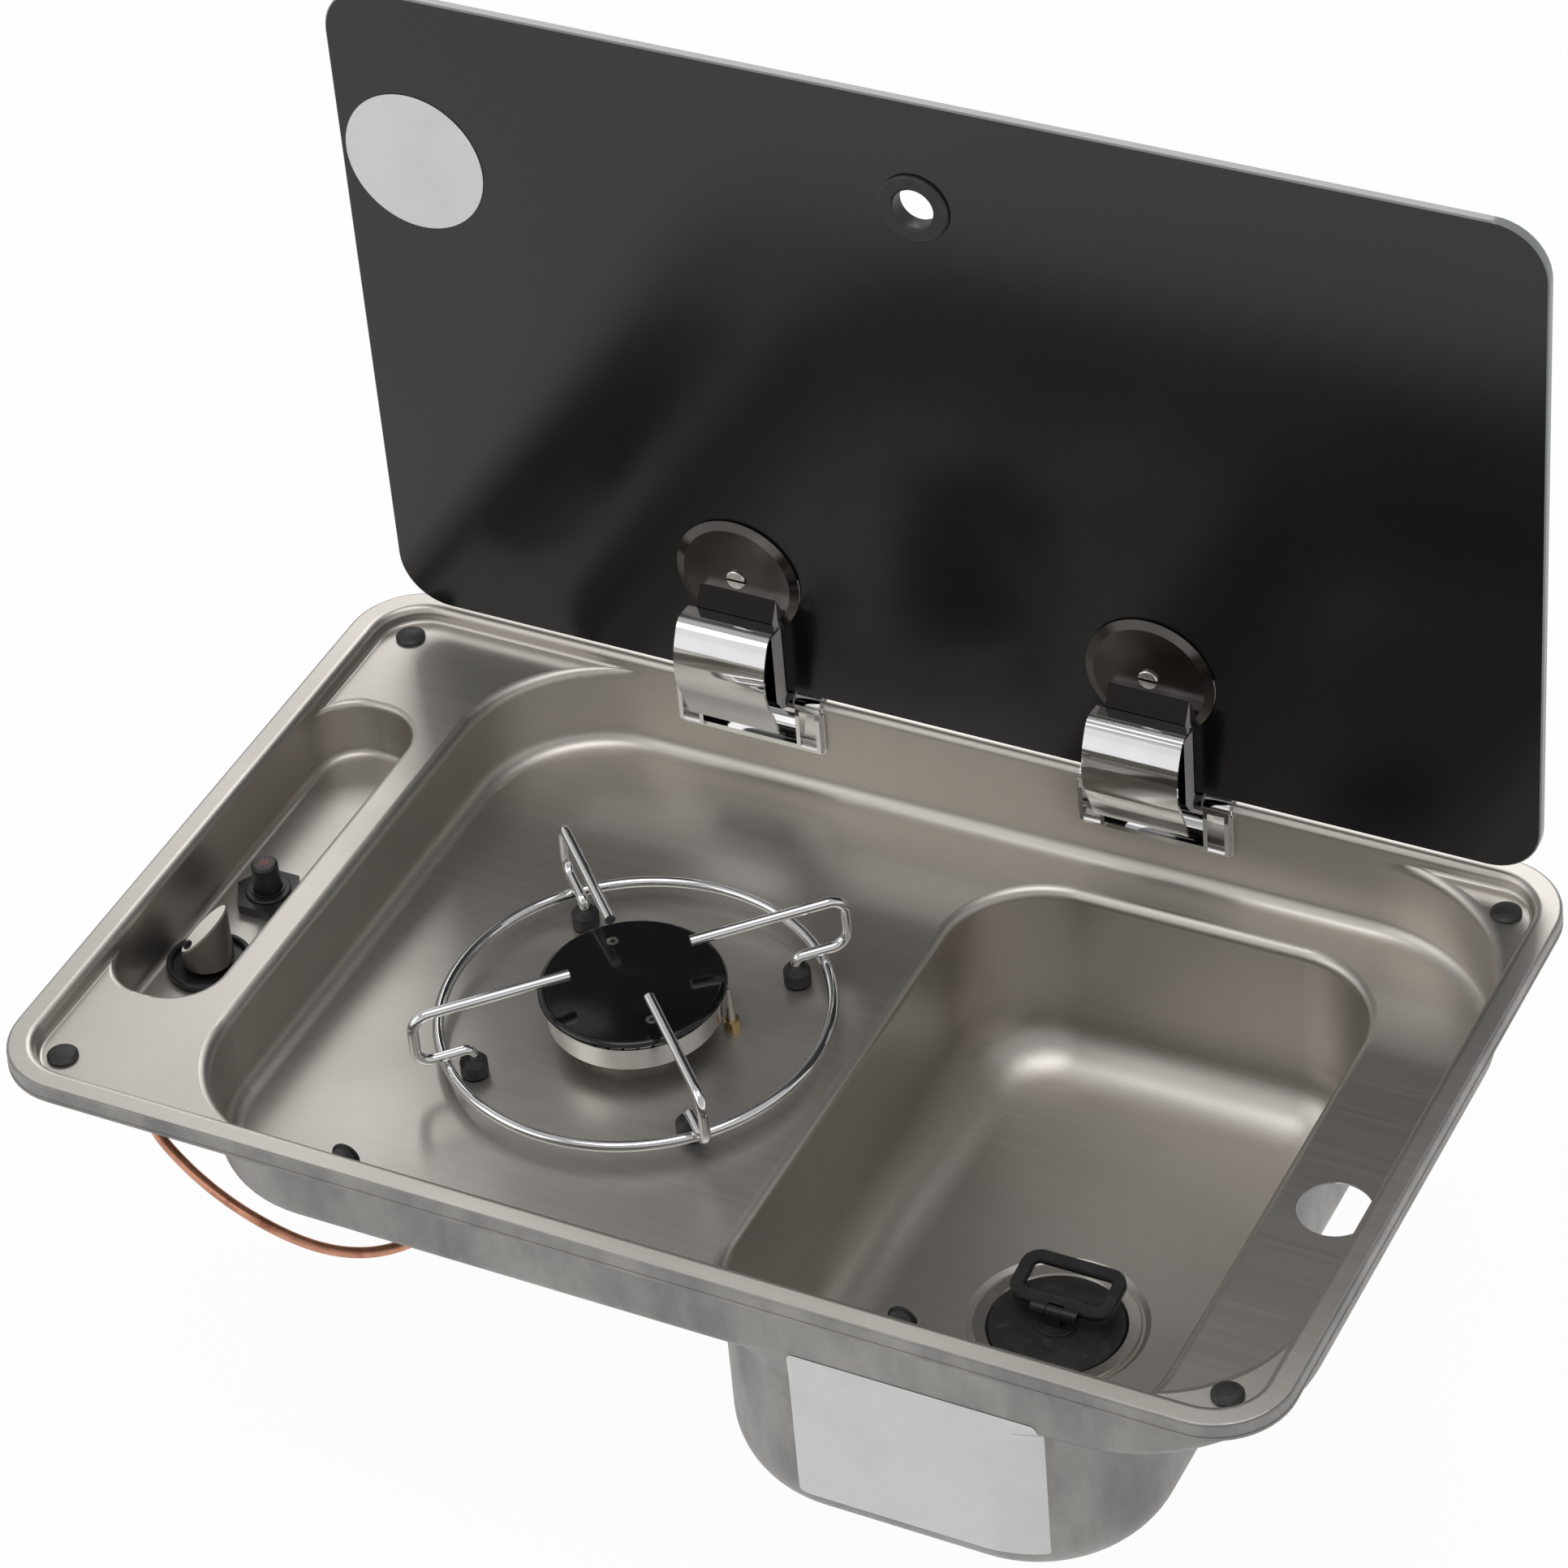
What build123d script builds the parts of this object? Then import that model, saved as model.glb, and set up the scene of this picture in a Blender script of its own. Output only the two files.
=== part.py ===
from build123d import *
import math
import os

# Hob and sink unit with a folding glass lid. Millimetres, +X right, +Y to the hinges, +Z up.
# The origin is the centre of the plane that the rim rests on, and the lid stands open.

# Tray pressing: rim, step and plateau
SHEET = 0.8
RIM_LENGTH = 600.0
RIM_WIDTH = 370.0
RIM_CORNER = 35.0
RIM_HEIGHT = 8.0
RIM_BEND = 1.6
HEM_HEIGHT = 1.4
HEM_FLARE = 0.3
STEP_INSET = 12.6
STEP_ROUND = 4.0
STEP_FILLET = 2.0
PLATEAU = 0.0
LIFT = 2.6

# Hob well
WELL_RIDGE = 11.0
WELL_FLOOR = -42.0
WELL_LEFT_CORNER = 60.0
WELL_RIGHT_CORNER = 66.0
WELL_ROLL = 5.0
WELL_FILLET = 8.0

# Control recess
RECESS_WIDTH = 54.4
RECESS_END = 110.0
RECESS_FLOOR = -30.0
RECESS_LEFT_CORNER = 20.0
RECESS_RIGHT_CORNER = 27.0
RECESS_ROLL = 3.0
RECESS_FILLET = 4.0

# Sink bowl, pressed out of the well's floor
BOWL_WIDTH = 209.0
BOWL_FROM_RIGHT = 54.9
BOWL_FROM_BACK = 21.9
BOWL_FLOOR = -137.0
BOWL_BACK_CORNER = 50.0
BOWL_FRONT_CORNER = 58.0
BOWL_ROLL = 5.0
BOWL_SEAM_DROP = 3.0
BOWL_FILLET = 28.0

# Holes in the tray
TAP_HOLE_FROM_RIGHT = 30.7
TAP_HOLE_Y = -1.7
TAP_HOLE_RADIUS = 16.5

# Bumpers under the lid, and studs on the front wall
BUMPER_INSET_X = 13.9
BUMPER_INSET_Y = 14.9
BUMPER_RADIUS = 7.0
BUMPER_HEIGHT = 3.1
BUMPER_STEM_RADIUS = 2.5
BUMPER_STEM = 3.4
STUD_X = 131.0
STUD_Z = -7.0
STUD_STEM_RADIUS = 5.5
STUD_STEM_LENGTH = 10.6
STUD_HEAD_RADIUS = 6.6
STUD_HEAD_LENGTH = 3.0

# Lid and its hinge line
LID_LENGTH = 567.0
LID_DEPTH = 338.0
LID_THICK = 5.0
LID_CORNER = 25.0
LID_EDGE = 0.7
LID_BOTTOM = 12.0
GLASS_FRONT_U = -2.7
HINGE_X = 101.5
HINGE_BEHIND_WALL = 2.4
HINGE_Z = 6.2
DISC_Z = 73.0
DISC_RADIUS = 31.0
DISC_THICK = 2.2
DISC_EDGE = 0.7
DISC_BEVEL = 4.3
PAD_THICK = 0.5
PAD_INSET = 1.0
LID_BORE = 6.0
GROMMET_Z = 297.0
GROMMET_RADIUS = 16.5
GROMMET_WAIST = 13.5
GROMMET_HOLE = 9.5
GROMMET_LIP = 2.2

# Hinge arm, cover, pin and base
NECK_WIDTH = 38.5
NECK_FRONT_U = -12.8
NECK_TOP = 66.2
NECK_SHOULDER = 52.2
KNUCKLE_RADIUS = 4.9
KNUCKLE_WIDTH = 46.0
PIN_RADIUS = 2.0
PIN_GAP = 0.05
COVER_WIDTH = 46.0
COVER_SHEET = 1.4
TROUGH_RADIUS = 24.4
TROUGH_SIDE_GAP = 1.2
CHEEK_WIDTH = 12.3
BACK_U = 7.4
BASE_WALL = 1.0
FRONT_U = -6.2
BASE_BARREL = 5.2
FLANGE_LIP = 1.5
FLANGE_THICK = 1.4
FLANGE_TOP = 3.2
WINDOW_GAP = 0.3
HINGE_SCREW_RADIUS = 4.8
HINGE_SCREW_HEAD = 1.3
HINGE_SCREW_SHANK = 2.5
SCREW_SLOT = 1.2
CAP_RADIUS = 20.0
CAP_THICK = 3.2
CAP_BOSS_RADIUS = 5.4

# Burner
BURNER_OFF_MIDDLE = 26.75
BURNER_Y = -8.0
CAP_TOP = -13.0
CAP_DROP = 1.5
CAP_RIM_Z = -16.4
CAP_RIM_RADIUS = 42.2
CAP_UNDER = -19.2
RING_RADIUS = 39.1
RING_BOTTOM = -32.5
RING_WALL = 4.0
RING_STEP = 1.5
RING_STEP_DROP = 1.3
RING_FLOOR = 4.0
BURNER_NECK_RADIUS = 19.0
BURNER_THROAT = 9.0
PORT_COUNT = 36
PORT_WIDTH = 1.6
PORT_DEPTH = 1.2
BURNER_SCREW_RADIUS = 28.4
BURNER_SCREW_HEAD = 2.8
BURNER_SCREW_SINK = 1.4
BURNER_SCREW_SHANK = 1.5
BURNER_SCREW_LENGTH = 11.0
BURNER_SCREW_LEVEL = -0.75
BURNER_POST_RADIUS = 4.2
CROSS_SLOT = 0.7
CAP_DOME = 520.0
SCREW_GAP = 0.15
HOLDER_FLANGE = 34.0
HOLDER_RADIUS = 17.0
HOLDER_TOP_GAP = 7.2
HOLDER_BLOCK = 10.0
HOLDER_PLATE = 5.0
HOLDER_WALL = 2.5
JET_RADIUS = 4.0
INLET_Z = -60.0
PROBE_RIGHT = 39.0
PROBE_BACK = 16.0
PROBE_NUT = 3.4
PROBE_NUT_HEIGHT = 4.5
PROBE_ROOT = 2.2
PROBE_TIP = 0.7
PROBE_HEIGHT = 22.4
PROBE_THREAD = 2.4
PROBE_BELOW = 9.0
SPARK_ANGLE = 119.0
SPARK_REACH = 46.0
SPARK_RADIUS = 3.0
SPARK_TOP = -24.5
SPARK_WIRE = 0.8
SPARK_WIRE_TOP = -22.0
SPARK_BELOW = 20.0

# Pan support
WIRE = 2.5
SUPPORT_RING = 87.8
SUPPORT_RING_Z = -32.0
ARM_INNER = 28.0
ARM_OUTER = 100.5
ARM_TOP_Z = -1.0
ARM_BEND = 8.0
ARM_FOOT = 75.5
ARM_FOOT_BEND = 3.5
ARM_WELD = 0.3
FOOT_RADIUS = 6.25
FOOT_HEIGHT = 9.7
FOOT_SOCKET = 5.0
FOOT_CLEARANCE = 0.3

# Gas tap, knob and igniter
TAP_FROM_LEFT = 22.4
TAP_Y = -53.0
BEZEL_RADIUS = 19.5
BEZEL_FOOT = 1.0
BEZEL_HEIGHT = 4.0
BEZEL_WALL = 2.5
BEZEL_FLOOR = 1.1
KNOB_RADIUS = 11.8
KNOB_BOTTOM = -25.2
KNOB_MIDDLE = 17.0
KNOB_LONG = 14.6
KNOB_SHORT = 4.6
KNOB_MARK = (3.3, 1.3)
KNOB_MARK_FROM_END = 4.6
KNOB_MARK_DEPTH = 0.5
KNOB_SLOPE = 31.0
KNOB_HEADING = 59.0
KNOB_TRAVEL = 3.2
SPINDLE_RADIUS = 2.5
SPINDLE_LENGTH = 26.0
SPINDLE_FLAT = 1.9
SPINDLE_SOCKET = 10.0
TAP_PLUG_RADIUS = 5.0
TAP_PLUG_TOP = -33.0
TAP_PLUG_LENGTH = 26.0
TAP_RADIUS = 11.0
TAP_FLANGE = 14.0
TAP_FLANGE_THICK = 2.5
TAP_DEPTH = 42.0
OUTLET_Z = -50.0
PORT_RADIUS = 6.0
INLET_RADIUS = 4.0
INLET_LENGTH = 22.0
FIT = 0.05
IGNITER_FROM_LEFT = 24.9
IGNITER_Y = -3.0
NUT_FLATS = 28.0
NUT_HEIGHT = 5.0
NUT_BOSS_RADIUS = 10.4
NUT_BOSS_HEIGHT = 1.4
BARREL_RADIUS = 7.8
BARREL_ABOVE_NUT = 0.8
IGNITER_BORE = 6.8
IGNITER_RADIUS = 9.8
IGNITER_DEPTH = 44.0
BUTTON_ROOT = 6.45
BUTTON_TIP = 6.1
BUTTON_TOP = -8.5
BUTTON_TRAVEL = 3.5
TAG_WIDTH = 6.3
TAG_THICK = 0.8
TAG_LENGTH = 9.0

# Burner feed pipe and its nuts
PIPE_RADIUS = 2.5
PIPE_NUT_FLATS = 12.0
PIPE_NUT_LENGTH = 9.0

# Waste, plug and its folding handle
WASTE_FROM_RIGHT = 99.6
WASTE_Y = -22.0
DISH_RADIUS = 41.5
DISH_FOOT_RADIUS = 39.0
DISH_DEPTH = 1.6
FLANGE_RADIUS = 37.6
FLANGE_SHEET = 1.2
FLANGE_WELL = 31.0
GRID_RADIUS = 23.0
GRID_DEPTH = 4.0
GRID_HOLES = 8
GRID_HOLE_RADIUS = 3.6
GRID_HOLE_RING = 15.0
WASTE_SCREW_RADIUS = 3.0
WASTE_SCREW_HEAD = 5.5
WASTE_SCREW_HEAD_HEIGHT = 2.2
WASTE_SCREW_LENGTH = 26.0
HOLE_GAP = 0.6
SEAL_THICK = 2.0
SEAL_RADIUS = 41.0
CUP_RADIUS = 38.0
CUP_DEPTH = 26.0
CUP_WALL = 2.5
CUP_LIP = 3.0
TAIL_RADIUS = 12.5
TAIL_BORE = 10.0
TAIL_LENGTH = 30.0
PLUG_GAP = 0.4
PLUG_THICK = 3.4
PLUG_DOME = 1.2
PLUG_LIP_RADIUS = 21.5
PLUG_LIP_DEPTH = 2.6
PLUG_BOSS_RADIUS = 10.0
PLUG_BOSS_HEIGHT = 1.0
LUG_WIDTH = 7.0
LUG_GAP = 0.35
LUG_RADIUS = 2.6
HANDLE_AXIS_Y = -1.7
HANDLE_AXIS_RISE = 6.6
HANDLE_PIN_RADIUS = 1.0
HANDLE_WIDTH = 50.0
HANDLE_FRAME = 28.5
HANDLE_BAR = 6.4
HANDLE_THICK = 3.6
HANDLE_CORNER = 9.0
HANDLE_TILT = 9.0
HANDLE_REACH = 15.3
HANDLE_KNUCKLE = 7.2
HANDLE_KNUCKLE_RADIUS = 2.9


# Places that follow from the sizes above
STEP_X = RIM_LENGTH / 2 - STEP_INSET
STEP_Y = RIM_WIDTH / 2 - STEP_INSET
STEP_CORNER = RIM_CORNER - STEP_INSET
RECESS_RIGHT = RECESS_WIDTH - STEP_X
WELL_LEFT = RECESS_RIGHT + WELL_RIDGE
BOWL_RIGHT = STEP_X - BOWL_FROM_RIGHT
BOWL_LEFT = BOWL_RIGHT - BOWL_WIDTH
BOWL_BACK = STEP_Y - BOWL_FROM_BACK
TAP_HOLE_X = STEP_X - TAP_HOLE_FROM_RIGHT
BUMPER_X = STEP_X - BUMPER_INSET_X
BUMPER_Y = STEP_Y - BUMPER_INSET_Y
HINGE_Y = STEP_Y + HINGE_BEHIND_WALL
LID_FACE = HINGE_Y + GLASS_FRONT_U
BURNER_X = (WELL_LEFT + BOWL_LEFT) / 2 + BURNER_OFF_MIDDLE
PROBE_X = BURNER_X + PROBE_RIGHT
PROBE_Y = BURNER_Y + PROBE_BACK
TAP_X = TAP_FROM_LEFT - STEP_X
IGNITER_X = IGNITER_FROM_LEFT - STEP_X
WASTE_X = BOWL_RIGHT - WASTE_FROM_RIGHT
TROUGH_WIDTH = COVER_WIDTH + 2 * TROUGH_SIDE_GAP
BASE_WIDTH = TROUGH_WIDTH + 2 * CHEEK_WIDTH
FLANGE_WIDTH = BASE_WIDTH + 2 * FLANGE_LIP
PIPE_ROUTE = [
    (TAP_X, TAP_Y - 23, OUTLET_Z),
    (TAP_X, TAP_Y - 44, OUTLET_Z),
    (TAP_X + 34, TAP_Y - 94, OUTLET_Z - 3),
    (TAP_X + 90, TAP_Y - 111, OUTLET_Z - 11),
    (BURNER_X - 51.5, BURNER_Y - 135, INLET_Z - 14),
    (BURNER_X - 12.5, BURNER_Y - 82, INLET_Z - 3),
    (BURNER_X, BURNER_Y - 45, INLET_Z),
    (BURNER_X, BURNER_Y - 23, INLET_Z),
]

os.makedirs("parts", exist_ok=True)


def outline(z, box, radii):
    """A closed outline at height z from four sides and four corner radii."""
    left, right, front, back = box
    front_left, front_right, back_right, back_left = radii
    with BuildSketch(Plane.XY.offset(z)) as sketch:
        with BuildLine():
            Line((left + front_left, front), (right - front_right, front))
            CenterArc((right - front_right, front + front_right), front_right, -90, 90)
            Line((right, front + front_right), (right, back - back_right))
            CenterArc((right - back_right, back - back_right), back_right, 0, 90)
            Line((right - back_right, back), (left + back_left, back))
            CenterArc((left + back_left, back - back_left), back_left, 90, 90)
            Line((left, back - back_left), (left, front + front_left))
            CenterArc((left + front_left, front + front_left), front_left, 180, 90)
        make_face()
    return sketch.sketch


def rolled_section(pocket, angle, grow):
    """The pocket's outline part way round its rolled top edge.

    Sides that drop straight from a higher wall are not rolled, and there the corners
    fade from the roll into the wall. grow is 0 for the upper skin, SHEET for the lower.
    """
    roll = pocket["roll"] - grow
    inward = roll * math.sin(math.radians(angle))
    z = pocket["level"] - pocket["roll"] + roll * math.cos(math.radians(angle))
    insets = [inward if rolled else -grow for rolled in pocket["rolled"]]
    left, right, front, back = pocket["box"]
    box = (left + insets[0], right - insets[1], front + insets[2], back - insets[3])
    beside = (
        (insets[0], insets[2]),
        (insets[1], insets[2]),
        (insets[1], insets[3]),
        (insets[0], insets[3]),
    )
    spread = math.sqrt(2) - 1
    radii = [
        radius + (inward - sum(pair) / math.sqrt(2)) / spread
        for radius, pair in zip(pocket["corners"], beside)
    ]
    return outline(z, box, radii)


ROLL_ANGLES = (0, 22.5, 45, 67.5, 90)


def pocket_solid(pocket, grow):
    """The space inside a pressed pocket, from above its rolled edge to its floor."""
    sections = [rolled_section(pocket, angle, grow) for angle in ROLL_ANGLES]
    rise = pocket["lift"] + grow
    drop = pocket["level"] - pocket["roll"] - pocket["floor"] + grow
    with BuildPart() as solid:
        add(sections[0])
        extrude(amount=rise)
        loft(sections)
        add(sections[-1])
        extrude(amount=drop, dir=(0, 0, -1))
        rim_of_floor = solid.faces().sort_by(Axis.Z)[0].edges()
        fillet(rim_of_floor, pocket["fillet"] + grow)
    return solid.part



well = {
    "level": PLATEAU,
    "lift": LIFT,
    "floor": WELL_FLOOR,
    "box": (WELL_LEFT, STEP_X, -STEP_Y, STEP_Y),
    "rolled": (True, False, False, False),
    "corners": (WELL_LEFT_CORNER, WELL_RIGHT_CORNER, WELL_RIGHT_CORNER, WELL_LEFT_CORNER),
    "roll": WELL_ROLL,
    "fillet": WELL_FILLET,
}
recess = {
    "level": PLATEAU,
    "lift": LIFT,
    "floor": RECESS_FLOOR,
    "box": (-STEP_X, RECESS_RIGHT, -RECESS_END, RECESS_END),
    "rolled": (False, True, True, True),
    "corners": (RECESS_LEFT_CORNER, RECESS_RIGHT_CORNER, RECESS_RIGHT_CORNER, RECESS_LEFT_CORNER),
    "roll": RECESS_ROLL,
    "fillet": RECESS_FILLET,
}
bowl = {
    "level": WELL_FLOOR,
    "lift": WELL_FILLET + SHEET,
    "floor": BOWL_FLOOR,
    "box": (BOWL_LEFT, BOWL_RIGHT, -STEP_Y, BOWL_BACK),
    "rolled": (True, True, False, True),
    "corners": (BOWL_FRONT_CORNER, BOWL_FRONT_CORNER, BOWL_BACK_CORNER, BOWL_BACK_CORNER),
    "roll": BOWL_ROLL,
    "fillet": BOWL_FILLET,
}


def step_solid(grow):
    """The block inside the rim's step, down to the plateau."""
    with BuildPart() as block:
        with BuildSketch(Plane.XY.offset(PLATEAU - grow)):
            RectangleRounded(2 * (STEP_X + grow), 2 * (STEP_Y + grow), STEP_CORNER + grow)
        extrude(amount=RIM_HEIGHT - PLATEAU + grow)
        fillet(block.faces().sort_by(Axis.Z)[0].edges(), STEP_FILLET + grow)
    return block.part


def dish_solid(grow):
    """The shallow dish round the waste hole."""
    with BuildPart() as dish:
        with BuildSketch(Plane.XY.offset(BOWL_FLOOR - DISH_DEPTH - grow)):
            with Locations((WASTE_X, WASTE_Y)):
                Circle(DISH_FOOT_RADIUS + grow)
        with BuildSketch(Plane.XY.offset(BOWL_FLOOR)):
            with Locations((WASTE_X, WASTE_Y)):
                Circle(DISH_RADIUS + grow)
        loft()
    return dish.part


# The air above the tray. Its slab above the rim gives the step its rounded top edge.
SLAB_MARGIN = 40.0
SLAB_HEIGHT = 4.0
with BuildPart() as air:
    with BuildSketch(Plane.XY.offset(RIM_HEIGHT)):
        Rectangle(RIM_LENGTH + SLAB_MARGIN, RIM_WIDTH + SLAB_MARGIN)
    extrude(amount=SLAB_HEIGHT)
    add(step_solid(0))
    mouth = [
        edge
        for edge in air.edges().filter_by_position(Axis.Z, RIM_HEIGHT, RIM_HEIGHT)
        if abs(edge.center().X) < RIM_LENGTH / 2 and abs(edge.center().Y) < RIM_WIDTH / 2
    ]
    fillet(mouth, STEP_ROUND)
air_pockets = [pocket_solid(well, 0), pocket_solid(recess, 0), pocket_solid(bowl, 0), dish_solid(0)]
skin_pockets = [
    pocket_solid(well, SHEET),
    pocket_solid(recess, SHEET),
    pocket_solid(bowl, SHEET),
    dish_solid(SHEET),
]
skin_step = step_solid(SHEET)

# The hollow under the rim, between its lip and the step.
with BuildPart() as rim_hollow:
    with BuildSketch(Plane.XY.offset(-SHEET)):
        RectangleRounded(RIM_LENGTH - 2 * SHEET, RIM_WIDTH - 2 * SHEET, RIM_CORNER - SHEET)
        RectangleRounded(
            2 * (STEP_X + SHEET), 2 * (STEP_Y + SHEET), STEP_CORNER + SHEET, mode=Mode.SUBTRACT
        )
    extrude(amount=RIM_HEIGHT)
    fillet(rim_hollow.faces().sort_by(Axis.Z)[-1].outer_wire().edges(), RIM_BEND - SHEET)
    fillet(rim_hollow.faces().sort_by(Axis.Z)[-1].inner_wires()[0].edges(), STEP_ROUND - SHEET)

BASE_BOTTOM = HINGE_Z - TROUGH_RADIUS - BASE_WALL
with BuildPart() as pressing:
    with BuildSketch(Plane.XY):
        RectangleRounded(RIM_LENGTH, RIM_WIDTH, RIM_CORNER)
    extrude(amount=RIM_HEIGHT)
    fillet(pressing.faces().sort_by(Axis.Z)[-1].edges(), RIM_BEND)
    with BuildSketch(Plane.XY):
        RectangleRounded(
            RIM_LENGTH + 2 * HEM_FLARE, RIM_WIDTH + 2 * HEM_FLARE, RIM_CORNER + HEM_FLARE
        )
    extrude(amount=HEM_HEIGHT)
    add(rim_hollow.part, mode=Mode.SUBTRACT)
    add(skin_step)
    add(skin_pockets)
    add(air.part, mode=Mode.SUBTRACT)
    add(air_pockets, mode=Mode.SUBTRACT)
    with BuildSketch(Plane.XY.offset(RIM_HEIGHT)):
        with Locations((-HINGE_X, STEP_Y), (HINGE_X, STEP_Y)):
            Rectangle(BASE_WIDTH + 2 * WINDOW_GAP, 2 * (HINGE_Y + BASE_BARREL + WINDOW_GAP - STEP_Y))
    extrude(amount=BASE_BOTTOM - WINDOW_GAP - RIM_HEIGHT, mode=Mode.SUBTRACT)
    with BuildSketch(Plane.XY.offset(WELL_FLOOR)):
        with Locations((TAP_HOLE_X, TAP_HOLE_Y)):
            Circle(TAP_HOLE_RADIUS)
        with Locations((BURNER_X, BURNER_Y)):
            Circle(BURNER_NECK_RADIUS)
            with PolarLocations(SPARK_REACH, 1, SPARK_ANGLE):
                Circle(SPARK_RADIUS)
        with Locations((PROBE_X, PROBE_Y)):
            Circle(PROBE_THREAD)
    extrude(amount=-2 * SHEET, mode=Mode.SUBTRACT)
    with BuildSketch(Plane.XY.offset(RECESS_FLOOR)):
        with Locations((TAP_X, TAP_Y)):
            Circle(TAP_PLUG_RADIUS + 1)
        with Locations((IGNITER_X, IGNITER_Y)):
            Circle(BARREL_RADIUS)
    extrude(amount=-2 * SHEET, mode=Mode.SUBTRACT)
    with BuildSketch(Plane.XY.offset(BOWL_FLOOR)):
        with Locations((WASTE_X, WASTE_Y)):
            Circle(FLANGE_WELL + FLANGE_SHEET + HOLE_GAP)
    extrude(amount=-3 * SHEET - DISH_DEPTH, mode=Mode.SUBTRACT)
    with BuildSketch(Plane.XY.offset(PLATEAU)):
        with GridLocations(2 * BUMPER_X, 2 * BUMPER_Y, 2, 2):
            Circle(BUMPER_STEM_RADIUS)
    extrude(amount=-2 * SHEET, mode=Mode.SUBTRACT)

# The bowl is drawn as a tub of its own and butt-welded on below its rolled edge
bowl_seam = Plane.XY.offset(WELL_FLOOR - BOWL_ROLL - BOWL_SEAM_DROP)
with BuildPart() as tray_pressing:
    add(pressing.part)
    split(bisect_by=bowl_seam, keep=Keep.TOP)
tray_pressing.part.label = "tray_pressing"
export_step(tray_pressing.part, "parts/tray_pressing.step")

with BuildPart() as bowl_pressing:
    add(pressing.part)
    split(bisect_by=bowl_seam, keep=Keep.BOTTOM)
bowl_pressing.part.label = "bowl_pressing"
export_step(bowl_pressing.part, "parts/bowl_pressing.step")


def turned(profile):
    """A solid turned about the Z axis from a closed profile of (radius, z) points."""
    with BuildPart() as solid:
        with BuildSketch(Plane.XZ):
            with BuildLine():
                Polyline(*profile, close=True)
            make_face()
        revolve(axis=Axis.Z)
    return solid.part


# Bumpers under the lid and studs on the front wall
bumper = turned(
    [
        (0, BUMPER_HEIGHT),
        (0.45 * BUMPER_RADIUS, BUMPER_HEIGHT - 0.2),
        (0.8 * BUMPER_RADIUS, BUMPER_HEIGHT - 0.8),
        (BUMPER_RADIUS, BUMPER_HEIGHT - 1.8),
        (BUMPER_RADIUS, 0),
        (BUMPER_STEM_RADIUS, 0),
        (BUMPER_STEM_RADIUS, -SHEET),
        (BUMPER_STEM_RADIUS + 0.7, -SHEET),
        (BUMPER_STEM_RADIUS - 1, -BUMPER_STEM),
        (0, -BUMPER_STEM),
    ]
)
with BuildPart() as lid_bumper:
    with GridLocations(2 * BUMPER_X, 2 * BUMPER_Y, 2, 2):
        add(bumper)
lid_bumper.part.label = "lid_bumper"
export_step(lid_bumper.part, "parts/lid_bumper.step")

stud_end = STUD_STEM_LENGTH + STUD_HEAD_LENGTH
stud = turned(
    [
        (0, 0),
        (STUD_STEM_RADIUS, 0),
        (STUD_STEM_RADIUS, STUD_STEM_LENGTH),
        (STUD_HEAD_RADIUS, STUD_STEM_LENGTH + 0.8),
        (STUD_HEAD_RADIUS, stud_end - 1.4),
        (STUD_HEAD_RADIUS - 1.6, stud_end - 0.3),
        (STUD_HEAD_RADIUS - 4, stud_end),
        (0, stud_end),
    ]
)
with BuildPart() as wall_stud:
    with Locations(*(Plane(origin=(x, -STEP_Y, STUD_Z), z_dir=(0, 1, 0)) for x in (-STUD_X, STUD_X))):
        add(stud)
wall_stud.part.label = "wall_stud"
export_step(wall_stud.part, "parts/wall_stud.step")

# Glass lid, standing open, with a grommet round its finger hole
glass_face = Plane(origin=(0, LID_FACE, 0), x_dir=(1, 0, 0), z_dir=(0, -1, 0))
with BuildPart() as lid_glass:
    with BuildSketch(glass_face):
        with Locations((0, LID_BOTTOM + LID_DEPTH / 2)):
            RectangleRounded(LID_LENGTH, LID_DEPTH, LID_CORNER)
    extrude(amount=-LID_THICK)
    chamfer(lid_glass.faces().filter_by(Axis.Y).edges(), LID_EDGE)
    with BuildSketch(glass_face):
        with Locations((-HINGE_X, DISC_Z), (HINGE_X, DISC_Z)):
            Circle(LID_BORE)
        with Locations((0, GROMMET_Z)):
            Circle(GROMMET_WAIST)
    extrude(amount=-LID_THICK, mode=Mode.SUBTRACT)
lid_glass.part.label = "lid_glass"
export_step(lid_glass.part, "parts/lid_glass.step")

grommet_front = -GROMMET_LIP
grommet_back = LID_THICK + GROMMET_LIP
grommet = turned(
    [
        (GROMMET_HOLE, grommet_front + 1),
        (GROMMET_HOLE + 1, grommet_front),
        (GROMMET_RADIUS - 1, grommet_front),
        (GROMMET_RADIUS, grommet_front + 1),
        (GROMMET_RADIUS, 0),
        (GROMMET_WAIST, 0),
        (GROMMET_WAIST, LID_THICK),
        (GROMMET_RADIUS, LID_THICK),
        (GROMMET_RADIUS, grommet_back - 1),
        (GROMMET_RADIUS - 1, grommet_back),
        (GROMMET_HOLE + 1, grommet_back),
        (GROMMET_HOLE, grommet_back - 1),
    ]
)
with BuildPart() as lid_grommet:
    with Locations(Plane(origin=(0, LID_FACE, GROMMET_Z), z_dir=(0, 1, 0))):
        add(grommet)
lid_grommet.part.label = "lid_grommet"
export_step(lid_grommet.part, "parts/lid_grommet.step")

# Hinge bases. Side profiles are drawn from the hinge line, +u to the back and +v up.
FLANGE_U = STEP_Y - FLANGE_THICK - HINGE_Y
BOTTOM_V = BASE_BOTTOM - HINGE_Z
BASE_TOP_BACK = -3.0
SCOOP_RADIUS = 24.0
SCOOP_DEPTH = 2.7
SCOOP_V = -12.5
SCOOP_BORDER = 2.0


def side_plane(x):
    """The side view through the hinge line at x, with u to the back and v up."""
    return Plane(origin=(x, HINGE_Y, HINGE_Z), x_dir=(0, 1, 0), z_dir=(1, 0, 0))


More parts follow.
